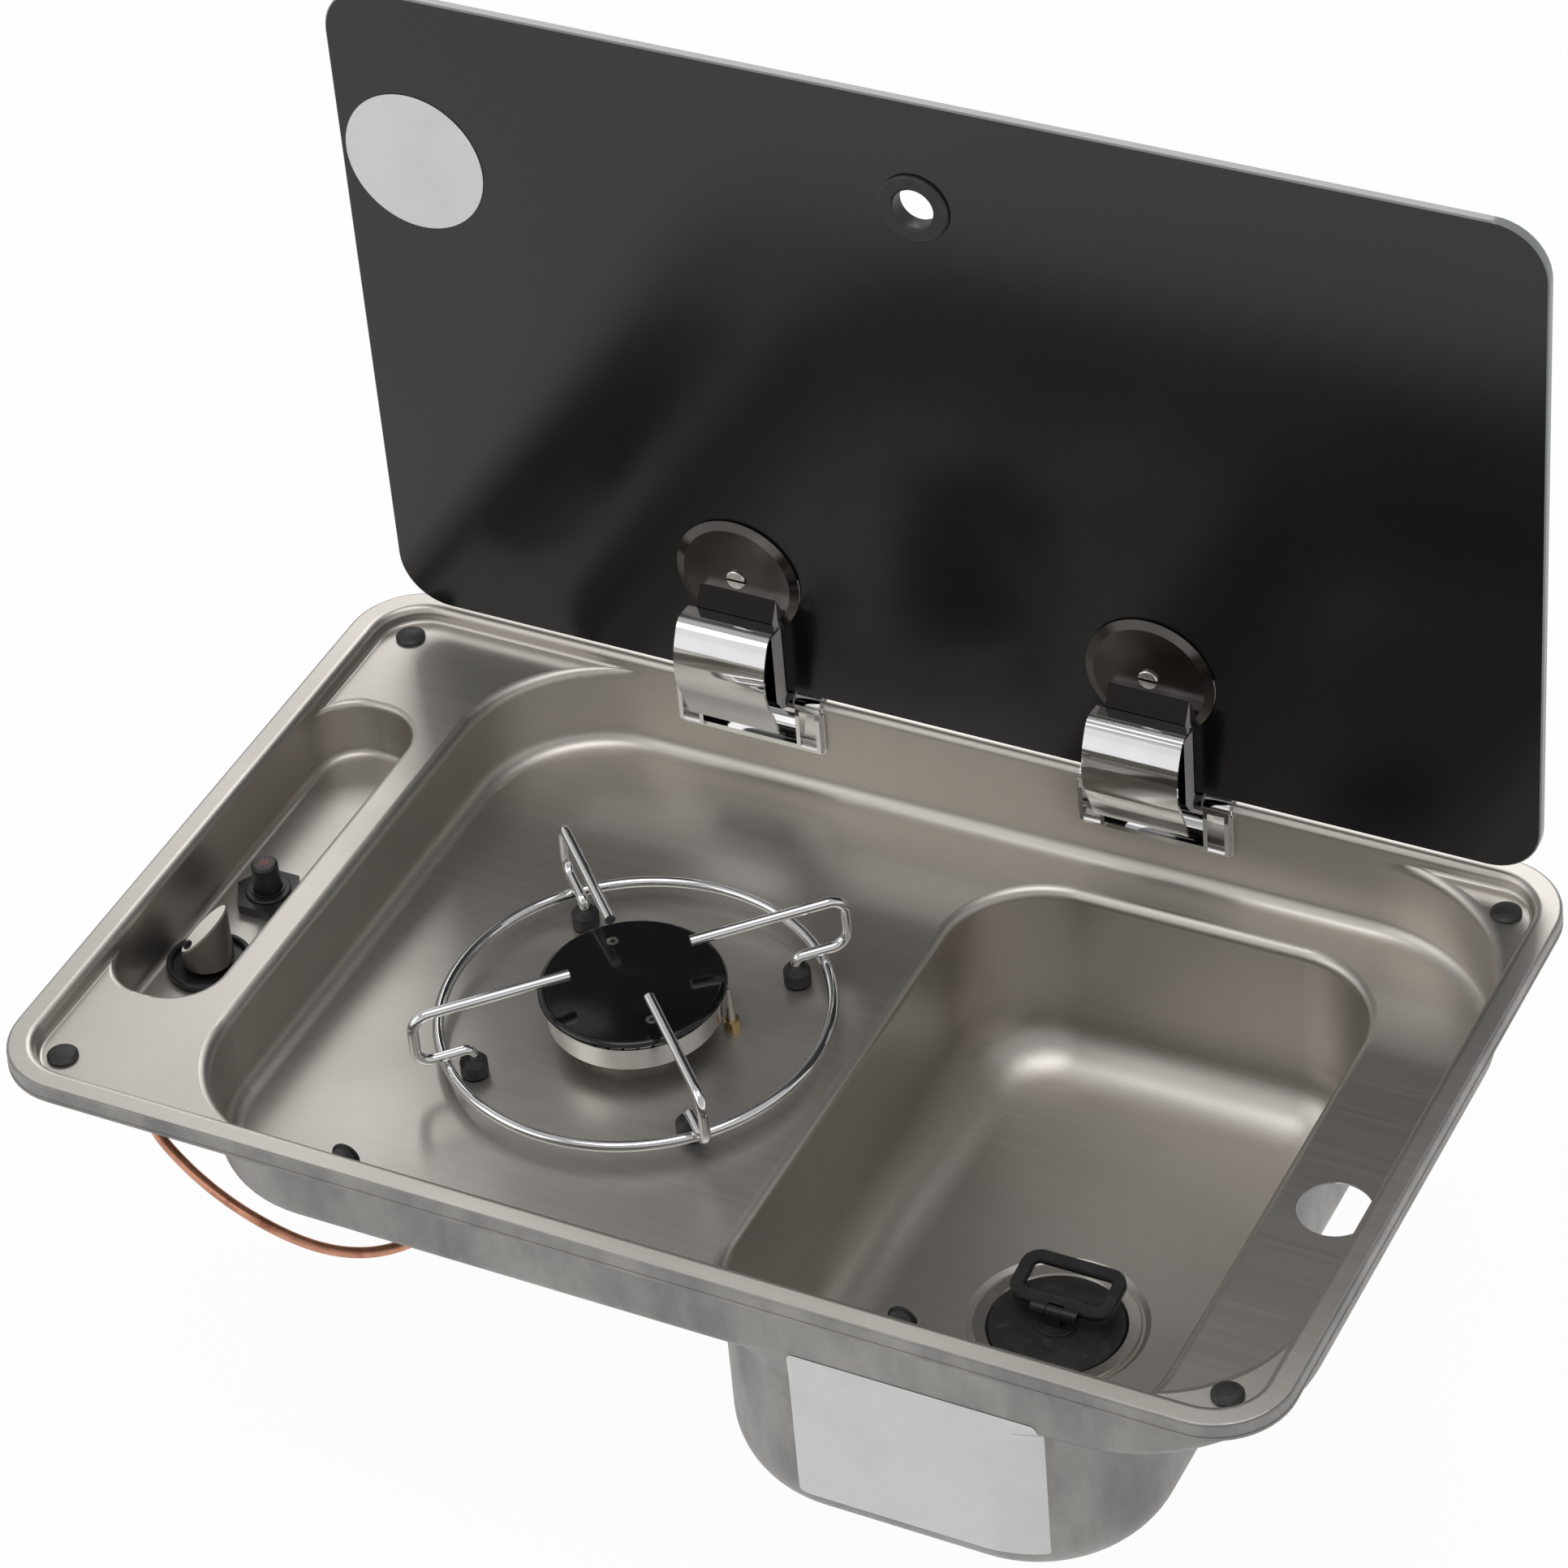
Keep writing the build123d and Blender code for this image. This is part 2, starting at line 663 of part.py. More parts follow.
with BuildPart() as one_base:
    with BuildSketch(side_plane(-BASE_WIDTH / 2)):
        with BuildLine():
            Polyline(
                (FRONT_U, -BASE_BARREL),
                (FRONT_U, BOTTOM_V + 1.5),
                (FRONT_U + 1.5, BOTTOM_V),
                (BACK_U - 3, BOTTOM_V),
                (BACK_U, BOTTOM_V + 3),
                (BACK_U, BASE_TOP_BACK),
                (BASE_BARREL, 0),
                (-BASE_BARREL, 0),
                close=True,
            )
        make_face()
        Circle(BASE_BARREL)
    extrude(amount=BASE_WIDTH)
    with BuildSketch(side_plane(-FLANGE_WIDTH / 2)):
        with BuildLine():
            Polyline(
                (FLANGE_U, FLANGE_TOP - HINGE_Z),
                (FLANGE_U, BOTTOM_V - 1.5),
                (FLANGE_U + FLANGE_THICK, BOTTOM_V - 1.5),
                (FLANGE_U + FLANGE_THICK, FLANGE_TOP - HINGE_Z),
                close=True,
            )
        make_face()
    extrude(amount=FLANGE_WIDTH)
    with BuildSketch(side_plane(-TROUGH_WIDTH / 2)):
        Circle(TROUGH_RADIUS)
        with Locations((FRONT_U, BOTTOM_V)):
            Rectangle(2 * (FLANGE_U - FRONT_U), 2 * TROUGH_RADIUS)
        with Locations((BACK_U - BASE_WALL, 0)):
            Rectangle(TROUGH_RADIUS, 2 * TROUGH_RADIUS, align=(Align.MIN, Align.CENTER), mode=Mode.SUBTRACT)
    extrude(amount=TROUGH_WIDTH, mode=Mode.SUBTRACT)
    for side in (-1, 1):
        middle = side * (TROUGH_WIDTH + CHEEK_WIDTH) / 2
        with BuildSketch(side_plane(middle - CHEEK_WIDTH / 2 + SCOOP_BORDER)):
            with Locations((FRONT_U + SCOOP_DEPTH - SCOOP_RADIUS, SCOOP_V)):
                Circle(SCOOP_RADIUS)
        extrude(amount=CHEEK_WIDTH - 2 * SCOOP_BORDER, mode=Mode.SUBTRACT)
    with BuildSketch(side_plane(-BASE_WIDTH / 2)):
        Circle(PIN_RADIUS)
    extrude(amount=BASE_WIDTH, mode=Mode.SUBTRACT)
    corners = one_base.edges().filter_by(Axis.Y).filter_by(
        lambda edge: abs(abs(edge.center().X) - FLANGE_WIDTH / 2) < 0.01 and edge.center().Z < BASE_BOTTOM
    )
    fillet(corners, 4)
with BuildPart() as hinge_base:
    with Locations((-HINGE_X, 0), (HINGE_X, 0)):
        add(one_base.part)
hinge_base.part.label = "hinge_base"
export_step(hinge_base.part, "parts/hinge_base.step")

with BuildPart() as hinge_pin:
    with BuildSketch(side_plane(-HINGE_X - BASE_WIDTH / 2 + 1), side_plane(HINGE_X - BASE_WIDTH / 2 + 1)):
        Circle(PIN_RADIUS)
    extrude(amount=BASE_WIDTH - 2)
hinge_pin.part.label = "hinge_pin"
export_step(hinge_pin.part, "parts/hinge_pin.step")

# Hinge arms: a knuckle on the pin, a neck and a round clamp disc against the glass
DISC_FACE = LID_FACE - PAD_THICK
NECK_BACK_U = DISC_FACE - HINGE_Y
disc_plane = Plane(origin=(0, DISC_FACE, 0), x_dir=(1, 0, 0), z_dir=(0, -1, 0))
with BuildPart() as one_arm:
    with BuildSketch(side_plane(-NECK_WIDTH / 2)):
        with BuildLine():
            Polyline(
                (NECK_BACK_U, NECK_TOP - HINGE_Z),
                (NECK_BACK_U - DISC_THICK, NECK_TOP - HINGE_Z),
                (NECK_FRONT_U, NECK_SHOULDER - HINGE_Z),
                (NECK_FRONT_U, 6.0),
                (-KNUCKLE_RADIUS - 3.0, -1.5),
                (-1.0, -KNUCKLE_RADIUS + 0.6),
                (0, KNUCKLE_RADIUS - 0.3),
                (NECK_BACK_U, KNUCKLE_RADIUS),
                close=True,
            )
        make_face()
    extrude(amount=NECK_WIDTH)
    with BuildSketch(side_plane(-KNUCKLE_WIDTH / 2)):
        Circle(KNUCKLE_RADIUS)
    extrude(amount=KNUCKLE_WIDTH)
    with BuildSketch(disc_plane):
        with Locations((0, DISC_Z)):
            Circle(DISC_RADIUS)
    extrude(amount=DISC_EDGE)
    with BuildSketch(disc_plane.offset(DISC_EDGE)):
        with Locations((0, DISC_Z)):
            Circle(DISC_RADIUS)
    with BuildSketch(disc_plane.offset(DISC_THICK)):
        with Locations((0, DISC_Z)):
            Circle(DISC_RADIUS - DISC_BEVEL)
    loft()
    with BuildSketch(disc_plane):
        with Locations((0, DISC_Z)):
            Circle(HINGE_SCREW_SHANK + SCREW_GAP)
    extrude(amount=DISC_THICK, mode=Mode.SUBTRACT)
    with BuildSketch(side_plane(-KNUCKLE_WIDTH / 2)):
        Circle(PIN_RADIUS + PIN_GAP)
    extrude(amount=KNUCKLE_WIDTH, mode=Mode.SUBTRACT)
with BuildPart() as hinge_arm:
    with Locations((-HINGE_X, 0), (HINGE_X, 0)):
        add(one_arm.part)
hinge_arm.part.label = "hinge_arm"
export_step(hinge_arm.part, "parts/hinge_arm.step")

# Hinge covers: one bent sheet each, clipped to the neck by a rib
COVER_BENDS = (6.5, 44.0, 30.0, 90.0)
COVER_RIB = 12.0
COVER_TOP_GAP = 1.2
cover_outside = [
    (NECK_FRONT_U + COVER_TOP_GAP, 50.2),
    (-22.6, 51.2),
    (-29.2, 38.0),
    (-31.4, 22.0),
    (-23.6, 4.5),
    (-20.0, -5.6),
]
cover_rib_outline = [
    (NECK_FRONT_U, 46.0),
    (-25.0, 44.0),
    (-28.2, 36.0),
    (-29.6, 26.0),
    (NECK_FRONT_U, 30.0),
]
with BuildPart() as one_cover:
    with BuildSketch(side_plane(-COVER_WIDTH / 2)):
        with BuildLine():
            FilletPolyline(*cover_outside, radius=COVER_BENDS)
            offset(amount=COVER_SHEET, side=Side.LEFT, closed=True)
        make_face()
    extrude(amount=COVER_WIDTH)
    with BuildSketch(side_plane(-COVER_RIB / 2)):
        with BuildLine():
            Polyline(*cover_rib_outline, close=True)
        make_face()
    extrude(amount=COVER_RIB)
with BuildPart() as hinge_cover:
    with Locations((-HINGE_X, 0), (HINGE_X, 0)):
        add(one_cover.part)
hinge_cover.part.label = "hinge_cover"
export_step(hinge_cover.part, "parts/hinge_cover.step")

# Clamp: a slotted screw in front of the disc, a cap behind the glass and a pad on each face
DISC_FRONT = DISC_FACE - DISC_THICK
GLASS_BACK = LID_FACE + LID_THICK
screw_reach = GLASS_BACK + PAD_THICK + CAP_THICK / 2 - DISC_FRONT
clamp_screw = turned(
    [
        (0, -screw_reach),
        (HINGE_SCREW_SHANK, -screw_reach),
        (HINGE_SCREW_SHANK, 0),
        (HINGE_SCREW_RADIUS, 0),
        (HINGE_SCREW_RADIUS, HINGE_SCREW_HEAD - 0.4),
        (HINGE_SCREW_RADIUS - 0.4, HINGE_SCREW_HEAD),
        (0, HINGE_SCREW_HEAD),
    ]
)
clamp_points = ((-HINGE_X, DISC_Z), (HINGE_X, DISC_Z))
with BuildPart() as hinge_screw:
    with Locations(*(Plane(origin=(x, DISC_FRONT, z), z_dir=(0, -1, 0)) for x, z in clamp_points)):
        add(clamp_screw)
    with BuildSketch(Plane.XZ.offset(-DISC_FRONT + HINGE_SCREW_HEAD)):
        with Locations(*clamp_points):
            Rectangle(2 * HINGE_SCREW_RADIUS, SCREW_SLOT)
    extrude(amount=-0.7 * HINGE_SCREW_HEAD, mode=Mode.SUBTRACT)
hinge_screw.part.label = "hinge_screw"
export_step(hinge_screw.part, "parts/hinge_screw.step")

cap = turned(
    [
        (HINGE_SCREW_SHANK, -LID_THICK / 2 - PAD_THICK),
        (CAP_BOSS_RADIUS, -LID_THICK / 2 - PAD_THICK),
        (CAP_BOSS_RADIUS, 0),
        (CAP_RADIUS, 0),
        (CAP_RADIUS, CAP_THICK - 1.2),
        (CAP_RADIUS - 1.2, CAP_THICK),
        (0, CAP_THICK),
        (0, CAP_THICK / 2),
        (HINGE_SCREW_SHANK, CAP_THICK / 2),
    ]
)
with BuildPart() as hinge_cap:
    with Locations(
        *(Plane(origin=(x, GLASS_BACK + PAD_THICK, z), z_dir=(0, 1, 0)) for x, z in clamp_points)
    ):
        add(cap)
hinge_cap.part.label = "hinge_cap"
export_step(hinge_cap.part, "parts/hinge_cap.step")

with BuildPart() as hinge_pad:
    with BuildSketch(Plane.XZ.offset(-LID_FACE)):
        with Locations(*clamp_points):
            Circle(DISC_RADIUS - PAD_INSET)
            Circle(LID_BORE, mode=Mode.SUBTRACT)
    extrude(amount=PAD_THICK)
    with BuildSketch(Plane.XZ.offset(-GLASS_BACK)):
        with Locations(*clamp_points):
            Circle(CAP_RADIUS - PAD_INSET)
            Circle(LID_BORE, mode=Mode.SUBTRACT)
    extrude(amount=-PAD_THICK)
hinge_pad.part.label = "hinge_pad"
export_step(hinge_pad.part, "parts/hinge_pad.step")

# Burner: enamelled cap on a ported head whose neck drops through the well's floor
CAP_SEAT = RING_RADIUS - RING_WALL
screw_level = CAP_TOP + BURNER_SCREW_LEVEL
screw_hole = turned(
    [
        (0, CAP_UNDER - 1),
        (BURNER_SCREW_SHANK + SCREW_GAP, CAP_UNDER - 1),
        (BURNER_SCREW_SHANK + SCREW_GAP, screw_level - BURNER_SCREW_SINK - SCREW_GAP),
        (BURNER_SCREW_HEAD, screw_level),
        (BURNER_SCREW_HEAD, CAP_TOP + 1),
        (0, CAP_TOP + 1),
    ]
)
burner_plane = Plane(origin=(BURNER_X, BURNER_Y, 0), x_dir=(1, 0, 0), z_dir=(0, -1, 0))
burner_axis = Axis((BURNER_X, BURNER_Y, 0), (0, 0, 1))
with BuildPart() as burner_cap:
    with BuildSketch(burner_plane):
        with BuildLine():
            Line((0, CAP_UNDER), (0, CAP_TOP))
            RadiusArc((0, CAP_TOP), (CAP_RIM_RADIUS - 3, CAP_TOP - CAP_DROP), CAP_DOME, short_sagitta=True)
            ThreePointArc(
                (CAP_RIM_RADIUS - 3, CAP_TOP - CAP_DROP),
                (CAP_RIM_RADIUS - 0.7, CAP_TOP - CAP_DROP - 0.7),
                (CAP_RIM_RADIUS, CAP_RIM_Z),
            )
            Line((CAP_RIM_RADIUS, CAP_RIM_Z), (RING_RADIUS - 0.5, CAP_UNDER))
            Line((RING_RADIUS - 0.5, CAP_UNDER), (0, CAP_UNDER))
        make_face()
    revolve(axis=burner_axis)
    with BuildSketch(Plane.XY.offset(CAP_UNDER)):
        with Locations((BURNER_X, BURNER_Y)):
            Circle(CAP_SEAT - 0.5)
            Circle(CAP_SEAT - 2.5, mode=Mode.SUBTRACT)
    extrude(amount=-1.5)
    with Locations((BURNER_X, BURNER_Y)):
        with PolarLocations(BURNER_SCREW_RADIUS, 2, 135):
            add(screw_hole, mode=Mode.SUBTRACT)
burner_cap.part.label = "burner_cap"
export_step(burner_cap.part, "parts/burner_cap.step")

HOLDER_TOP = WELL_FLOOR - SHEET
head = turned(
    [
        (RING_RADIUS, CAP_UNDER - RING_STEP_DROP),
        (RING_RADIUS - RING_STEP, CAP_UNDER - RING_STEP_DROP),
        (RING_RADIUS - RING_STEP, CAP_UNDER),
        (CAP_SEAT, CAP_UNDER),
        (CAP_SEAT - 1, RING_BOTTOM + RING_FLOOR + 1),
        (CAP_SEAT - 2, RING_BOTTOM + RING_FLOOR),
        (BURNER_THROAT + 2, RING_BOTTOM + RING_FLOOR),
        (BURNER_THROAT, RING_BOTTOM + RING_FLOOR - 2),
        (BURNER_THROAT, HOLDER_TOP),
        (BURNER_NECK_RADIUS, HOLDER_TOP),
        (BURNER_NECK_RADIUS, WELL_FLOOR),
        (BURNER_NECK_RADIUS + 3, WELL_FLOOR),
        (BURNER_NECK_RADIUS + 3, WELL_FLOOR + 2.5),
        (BURNER_NECK_RADIUS + 1, WELL_FLOOR + 3.5),
        (BURNER_NECK_RADIUS + 1, RING_BOTTOM - 3),
        (BURNER_NECK_RADIUS + 5, RING_BOTTOM),
        (RING_RADIUS - 1, RING_BOTTOM),
        (RING_RADIUS, RING_BOTTOM + 1),
    ]
)
with BuildPart() as burner_head:
    with Locations((BURNER_X, BURNER_Y)):
        add(head)
    port = Box(2 * RING_WALL, PORT_WIDTH, 2 * PORT_DEPTH, mode=Mode.PRIVATE)
    with Locations((BURNER_X, BURNER_Y, CAP_UNDER)):
        with PolarLocations(RING_RADIUS - RING_WALL / 2, PORT_COUNT):
            add(port, mode=Mode.SUBTRACT)
    with BuildSketch(Plane.XY.offset(CAP_UNDER)):
        with Locations((BURNER_X, BURNER_Y)):
            with PolarLocations(BURNER_SCREW_RADIUS, 2, 135):
                Circle(BURNER_POST_RADIUS)
    extrude(amount=RING_BOTTOM + RING_FLOOR - CAP_UNDER - 1)
    with BuildSketch(Plane.XY.offset(CAP_UNDER)):
        with Locations((BURNER_X, BURNER_Y)):
            with PolarLocations(BURNER_SCREW_RADIUS, 2, 135):
                Circle(BURNER_SCREW_SHANK)
    extrude(amount=screw_level - BURNER_SCREW_LENGTH - CAP_UNDER, mode=Mode.SUBTRACT)
burner_head.part.label = "burner_head"
export_step(burner_head.part, "parts/burner_head.step")

# Injector holder under the well, with windows for the air and the jet in its middle
holder_block_top = HOLDER_TOP - HOLDER_PLATE - HOLDER_TOP_GAP
holder_bottom = holder_block_top - HOLDER_BLOCK
holder = turned(
    [
        (HOLDER_FLANGE, HOLDER_TOP),
        (HOLDER_RADIUS - HOLDER_WALL, HOLDER_TOP),
        (HOLDER_RADIUS - HOLDER_WALL, holder_block_top),
        (JET_RADIUS / 2, holder_block_top),
        (JET_RADIUS / 2, INLET_Z + 1),
        (0, INLET_Z + 1),
        (0, holder_bottom),
        (HOLDER_RADIUS - 2, holder_bottom),
        (HOLDER_RADIUS, holder_bottom + 2),
        (HOLDER_RADIUS, HOLDER_TOP - HOLDER_PLATE),
        (HOLDER_FLANGE - 1, HOLDER_TOP - HOLDER_PLATE),
        (HOLDER_FLANGE, HOLDER_TOP - HOLDER_PLATE + 1),
    ]
)
inlet_face = PIPE_ROUTE[-1][1]
with BuildPart() as injector_holder:
    with Locations((BURNER_X, BURNER_Y)):
        add(holder)
    with BuildSketch(Plane.XZ.offset(-inlet_face)):
        with Locations((BURNER_X, INLET_Z)):
            Circle(PORT_RADIUS)
    extrude(amount=inlet_face - BURNER_Y + HOLDER_RADIUS - 1)
    with BuildSketch(Plane.XZ.offset(-inlet_face)):
        with Locations((BURNER_X, INLET_Z)):
            Circle(JET_RADIUS / 2)
    extrude(amount=inlet_face - BURNER_Y, mode=Mode.SUBTRACT)
    with BuildSketch(Plane.XY.offset(HOLDER_TOP - HOLDER_PLATE)):
        with Locations((BURNER_X, BURNER_Y)):
            Rectangle(3 * HOLDER_RADIUS, HOLDER_RADIUS / 2)
            Rectangle(HOLDER_RADIUS / 2, 3 * HOLDER_RADIUS)
    extrude(amount=-HOLDER_TOP_GAP, mode=Mode.SUBTRACT)
    with BuildSketch(Plane.XY.offset(HOLDER_TOP)):
        with Locations((BURNER_X, BURNER_Y)):
            with PolarLocations(SPARK_REACH, 1, SPARK_ANGLE):
                Circle(SPARK_RADIUS + HOLE_GAP)
    extrude(amount=-HOLDER_PLATE, mode=Mode.SUBTRACT)
injector_holder.part.label = "injector_holder"
export_step(injector_holder.part, "parts/injector_holder.step")

with BuildPart() as gas_jet:
    with BuildSketch(Plane.XY.offset(holder_block_top)):
        with Locations((BURNER_X, BURNER_Y)):
            RegularPolygon(JET_RADIUS, 6, major_radius=False)
    extrude(amount=HOLDER_TOP_GAP / 2)
    with BuildSketch(Plane.XY.offset(INLET_Z + JET_RADIUS / 2)):
        with Locations((BURNER_X, BURNER_Y)):
            Circle(JET_RADIUS / 2)
    extrude(until=Until.NEXT)
    with Locations((BURNER_X, BURNER_Y, holder_block_top + HOLDER_TOP_GAP / 2)):
        Cone(JET_RADIUS - 1, 1.5, 3, align=(Align.CENTER, Align.CENTER, Align.MIN))
gas_jet.part.label = "gas_jet"
export_step(gas_jet.part, "parts/gas_jet.step")

cross_screw = turned(
    [
        (0, screw_level - BURNER_SCREW_LENGTH),
        (BURNER_SCREW_SHANK, screw_level - BURNER_SCREW_LENGTH),
        (BURNER_SCREW_SHANK, screw_level - BURNER_SCREW_SINK),
        (BURNER_SCREW_HEAD, screw_level),
        (0, screw_level),
    ]
)
with BuildPart() as burner_screw:
    with Locations((BURNER_X, BURNER_Y)):
        with PolarLocations(BURNER_SCREW_RADIUS, 2, 135):
            add(cross_screw)
    with BuildSketch(Plane.XY.offset(screw_level)):
        with Locations((BURNER_X, BURNER_Y)):
            with PolarLocations(BURNER_SCREW_RADIUS, 2, 135):
                Rectangle(BURNER_SCREW_HEAD, CROSS_SLOT)
                Rectangle(CROSS_SLOT, BURNER_SCREW_HEAD)
    extrude(amount=-BURNER_SCREW_SINK / 2, mode=Mode.SUBTRACT)
burner_screw.part.label = "burner_screw"
export_step(burner_screw.part, "parts/burner_screw.step")

# Thermocouple and spark electrode beside the burner
with BuildPart() as thermocouple:
    with BuildSketch(Plane.XY.offset(WELL_FLOOR)):
        with Locations((PROBE_X, PROBE_Y)):
            RegularPolygon(PROBE_NUT, 6, major_radius=False)
    extrude(amount=PROBE_NUT_HEIGHT)
    with Locations((PROBE_X, PROBE_Y, WELL_FLOOR - PROBE_BELOW)):
        Cylinder(PROBE_THREAD, PROBE_BELOW, align=(Align.CENTER, Align.CENTER, Align.MIN))
    with Locations((PROBE_X, PROBE_Y, WELL_FLOOR + PROBE_NUT_HEIGHT)):
        Cone(
            PROBE_ROOT,
            PROBE_TIP,
            PROBE_HEIGHT - PROBE_NUT_HEIGHT,
            align=(Align.CENTER, Align.CENTER, Align.MIN),
        )
thermocouple.part.label = "thermocouple"
export_step(thermocouple.part, "parts/thermocouple.step")

spark_bottom = WELL_FLOOR - SPARK_BELOW
electrode = turned(
    [
        (0, spark_bottom),
        (SPARK_WIRE, spark_bottom),
        (SPARK_WIRE, spark_bottom + 4),
        (SPARK_RADIUS, spark_bottom + 4),
        (SPARK_RADIUS, SPARK_TOP - 1),
        (SPARK_RADIUS - 1, SPARK_TOP),
        (SPARK_WIRE, SPARK_TOP),
        (SPARK_WIRE, SPARK_WIRE_TOP),
        (0, SPARK_WIRE_TOP),
    ]
)
with BuildPart() as spark_electrode:
    with Locations((BURNER_X, BURNER_Y)):
        with PolarLocations(SPARK_REACH, 1, SPARK_ANGLE):
            add(electrode)
spark_electrode.part.label = "spark_electrode"
export_step(spark_electrode.part, "parts/spark_electrode.step")

# Pan support: a wire ring that carries four arms, each on a rubber foot
ARM_LEG_Z = SUPPORT_RING_Z + 2 * WIRE - ARM_WELD
FOOT_BOTTOM = WELL_FLOOR + FOOT_CLEARANCE
FOOT_TOP = FOOT_BOTTOM + FOOT_HEIGHT
arm_path = [
    (ARM_INNER, 0, ARM_TOP_Z),
    (ARM_OUTER, 0, ARM_TOP_Z),
    (ARM_OUTER, 0, ARM_LEG_Z),
    (ARM_FOOT, 0, ARM_LEG_Z),
    (ARM_FOOT, 0, FOOT_TOP - FOOT_SOCKET),
]
with BuildPart() as one_wire:
    with BuildLine() as wire_line:
        FilletPolyline(*arm_path, radius=(ARM_BEND, ARM_BEND, ARM_FOOT_BEND))
    with BuildSketch(Plane(origin=wire_line.line @ 0, z_dir=wire_line.line % 0)):
        Circle(WIRE)
    sweep(path=wire_line.line)
with BuildPart() as pan_support:
    with Locations((BURNER_X, BURNER_Y, SUPPORT_RING_Z)):
        Torus(SUPPORT_RING, WIRE)
    with Locations((BURNER_X, BURNER_Y)):
        with PolarLocations(0, 4, 45):
            add(one_wire.part)
pan_support.part.label = "pan_support"
export_step(pan_support.part, "parts/pan_support.step")

foot = turned(
    [
        (0, FOOT_BOTTOM),
        (FOOT_RADIUS - 0.8, FOOT_BOTTOM),
        (FOOT_RADIUS, FOOT_BOTTOM + 0.8),
        (FOOT_RADIUS, FOOT_TOP - 2.5),
        (FOOT_RADIUS - 2, FOOT_TOP),
        (WIRE, FOOT_TOP),
        (WIRE, FOOT_TOP - FOOT_SOCKET),
        (0, FOOT_TOP - FOOT_SOCKET),
    ]
)
with BuildPart() as support_foot:
    with Locations((BURNER_X, BURNER_Y)):
        with PolarLocations(ARM_FOOT, 4, 45):
            add(foot)
support_foot.part.label = "support_foot"
export_step(support_foot.part, "parts/support_foot.step")

# Gas tap: bezel, knob, spindle, turning plug and body
bezel = turned(
    [
        (TAP_PLUG_RADIUS + 1, RECESS_FLOOR),
        (BEZEL_RADIUS - BEZEL_FOOT, RECESS_FLOOR),
        (BEZEL_RADIUS, RECESS_FLOOR + BEZEL_FOOT),
        (BEZEL_RADIUS, RECESS_FLOOR + BEZEL_HEIGHT - 1),
        (BEZEL_RADIUS - 1, RECESS_FLOOR + BEZEL_HEIGHT),
        (BEZEL_RADIUS - BEZEL_WALL + 0.6, RECESS_FLOOR + BEZEL_HEIGHT),
        (BEZEL_RADIUS - BEZEL_WALL, RECESS_FLOOR + BEZEL_HEIGHT - 0.6),
        (BEZEL_RADIUS - BEZEL_WALL - 0.5, RECESS_FLOOR + BEZEL_FLOOR),
        (TAP_PLUG_RADIUS + 1, RECESS_FLOOR + BEZEL_FLOOR),
    ]
)
with BuildPart() as knob_bezel:
    with Locations((TAP_X, TAP_Y)):
        add(bezel)
knob_bezel.part.label = "knob_bezel"
export_step(knob_bezel.part, "parts/knob_bezel.step")

heading = math.radians(KNOB_HEADING)
slope = math.radians(KNOB_SLOPE)
along = (math.cos(heading), math.sin(heading), 0)
uphill = (math.cos(slope) * along[0], math.cos(slope) * along[1], math.sin(slope))
top_normal = (-math.sin(slope) * along[0], -math.sin(slope) * along[1], math.cos(slope))
knob_base = Plane(origin=(TAP_X, TAP_Y, KNOB_BOTTOM), x_dir=along, z_dir=(0, 0, 1))
knob_top = Plane(origin=(TAP_X, TAP_Y, KNOB_BOTTOM + KNOB_MIDDLE), x_dir=uphill, z_dir=top_normal)
SPINDLE_TOP = KNOB_BOTTOM + SPINDLE_SOCKET
with BuildPart() as gas_knob:
    with BuildSketch(knob_base):
        Circle(KNOB_RADIUS)
    with BuildSketch(knob_top):
        Ellipse(KNOB_LONG, KNOB_SHORT)
    loft()
    chamfer(gas_knob.faces().sort_by(Axis.Z)[-1].edges(), 0.6)
    with BuildSketch(knob_top):
        with Locations((KNOB_MARK_FROM_END - KNOB_LONG, 0)):
            SlotOverall(*KNOB_MARK)
    extrude(amount=-KNOB_MARK_DEPTH, mode=Mode.SUBTRACT)
    with BuildSketch(Plane.XY.offset(KNOB_BOTTOM)):
        with Locations((TAP_X, TAP_Y)):
            Circle(SPINDLE_RADIUS)
    extrude(amount=SPINDLE_SOCKET, mode=Mode.SUBTRACT)
gas_knob.part.label = "gas_knob"
export_step(gas_knob.part, "parts/gas_knob.step")


def spindle_section(z, gap):
    """The spindle's round section with its flat, at height z and grown by gap."""
    with BuildSketch(Plane.XY.offset(z)) as section:
        with Locations((TAP_X, TAP_Y)):
            Circle(SPINDLE_RADIUS + gap)
        with Locations((TAP_X + SPINDLE_FLAT + gap, TAP_Y)):
            Rectangle(
                SPINDLE_RADIUS, 3 * SPINDLE_RADIUS, align=(Align.MIN, Align.CENTER), mode=Mode.SUBTRACT
            )
    return section.sketch


spindle_bottom = SPINDLE_TOP - SPINDLE_LENGTH
with BuildPart() as tap_spindle:
    add(spindle_section(SPINDLE_TOP, 0))
    extrude(amount=-SPINDLE_LENGTH)
tap_spindle.part.label = "tap_spindle"
export_step(tap_spindle.part, "parts/tap_spindle.step")

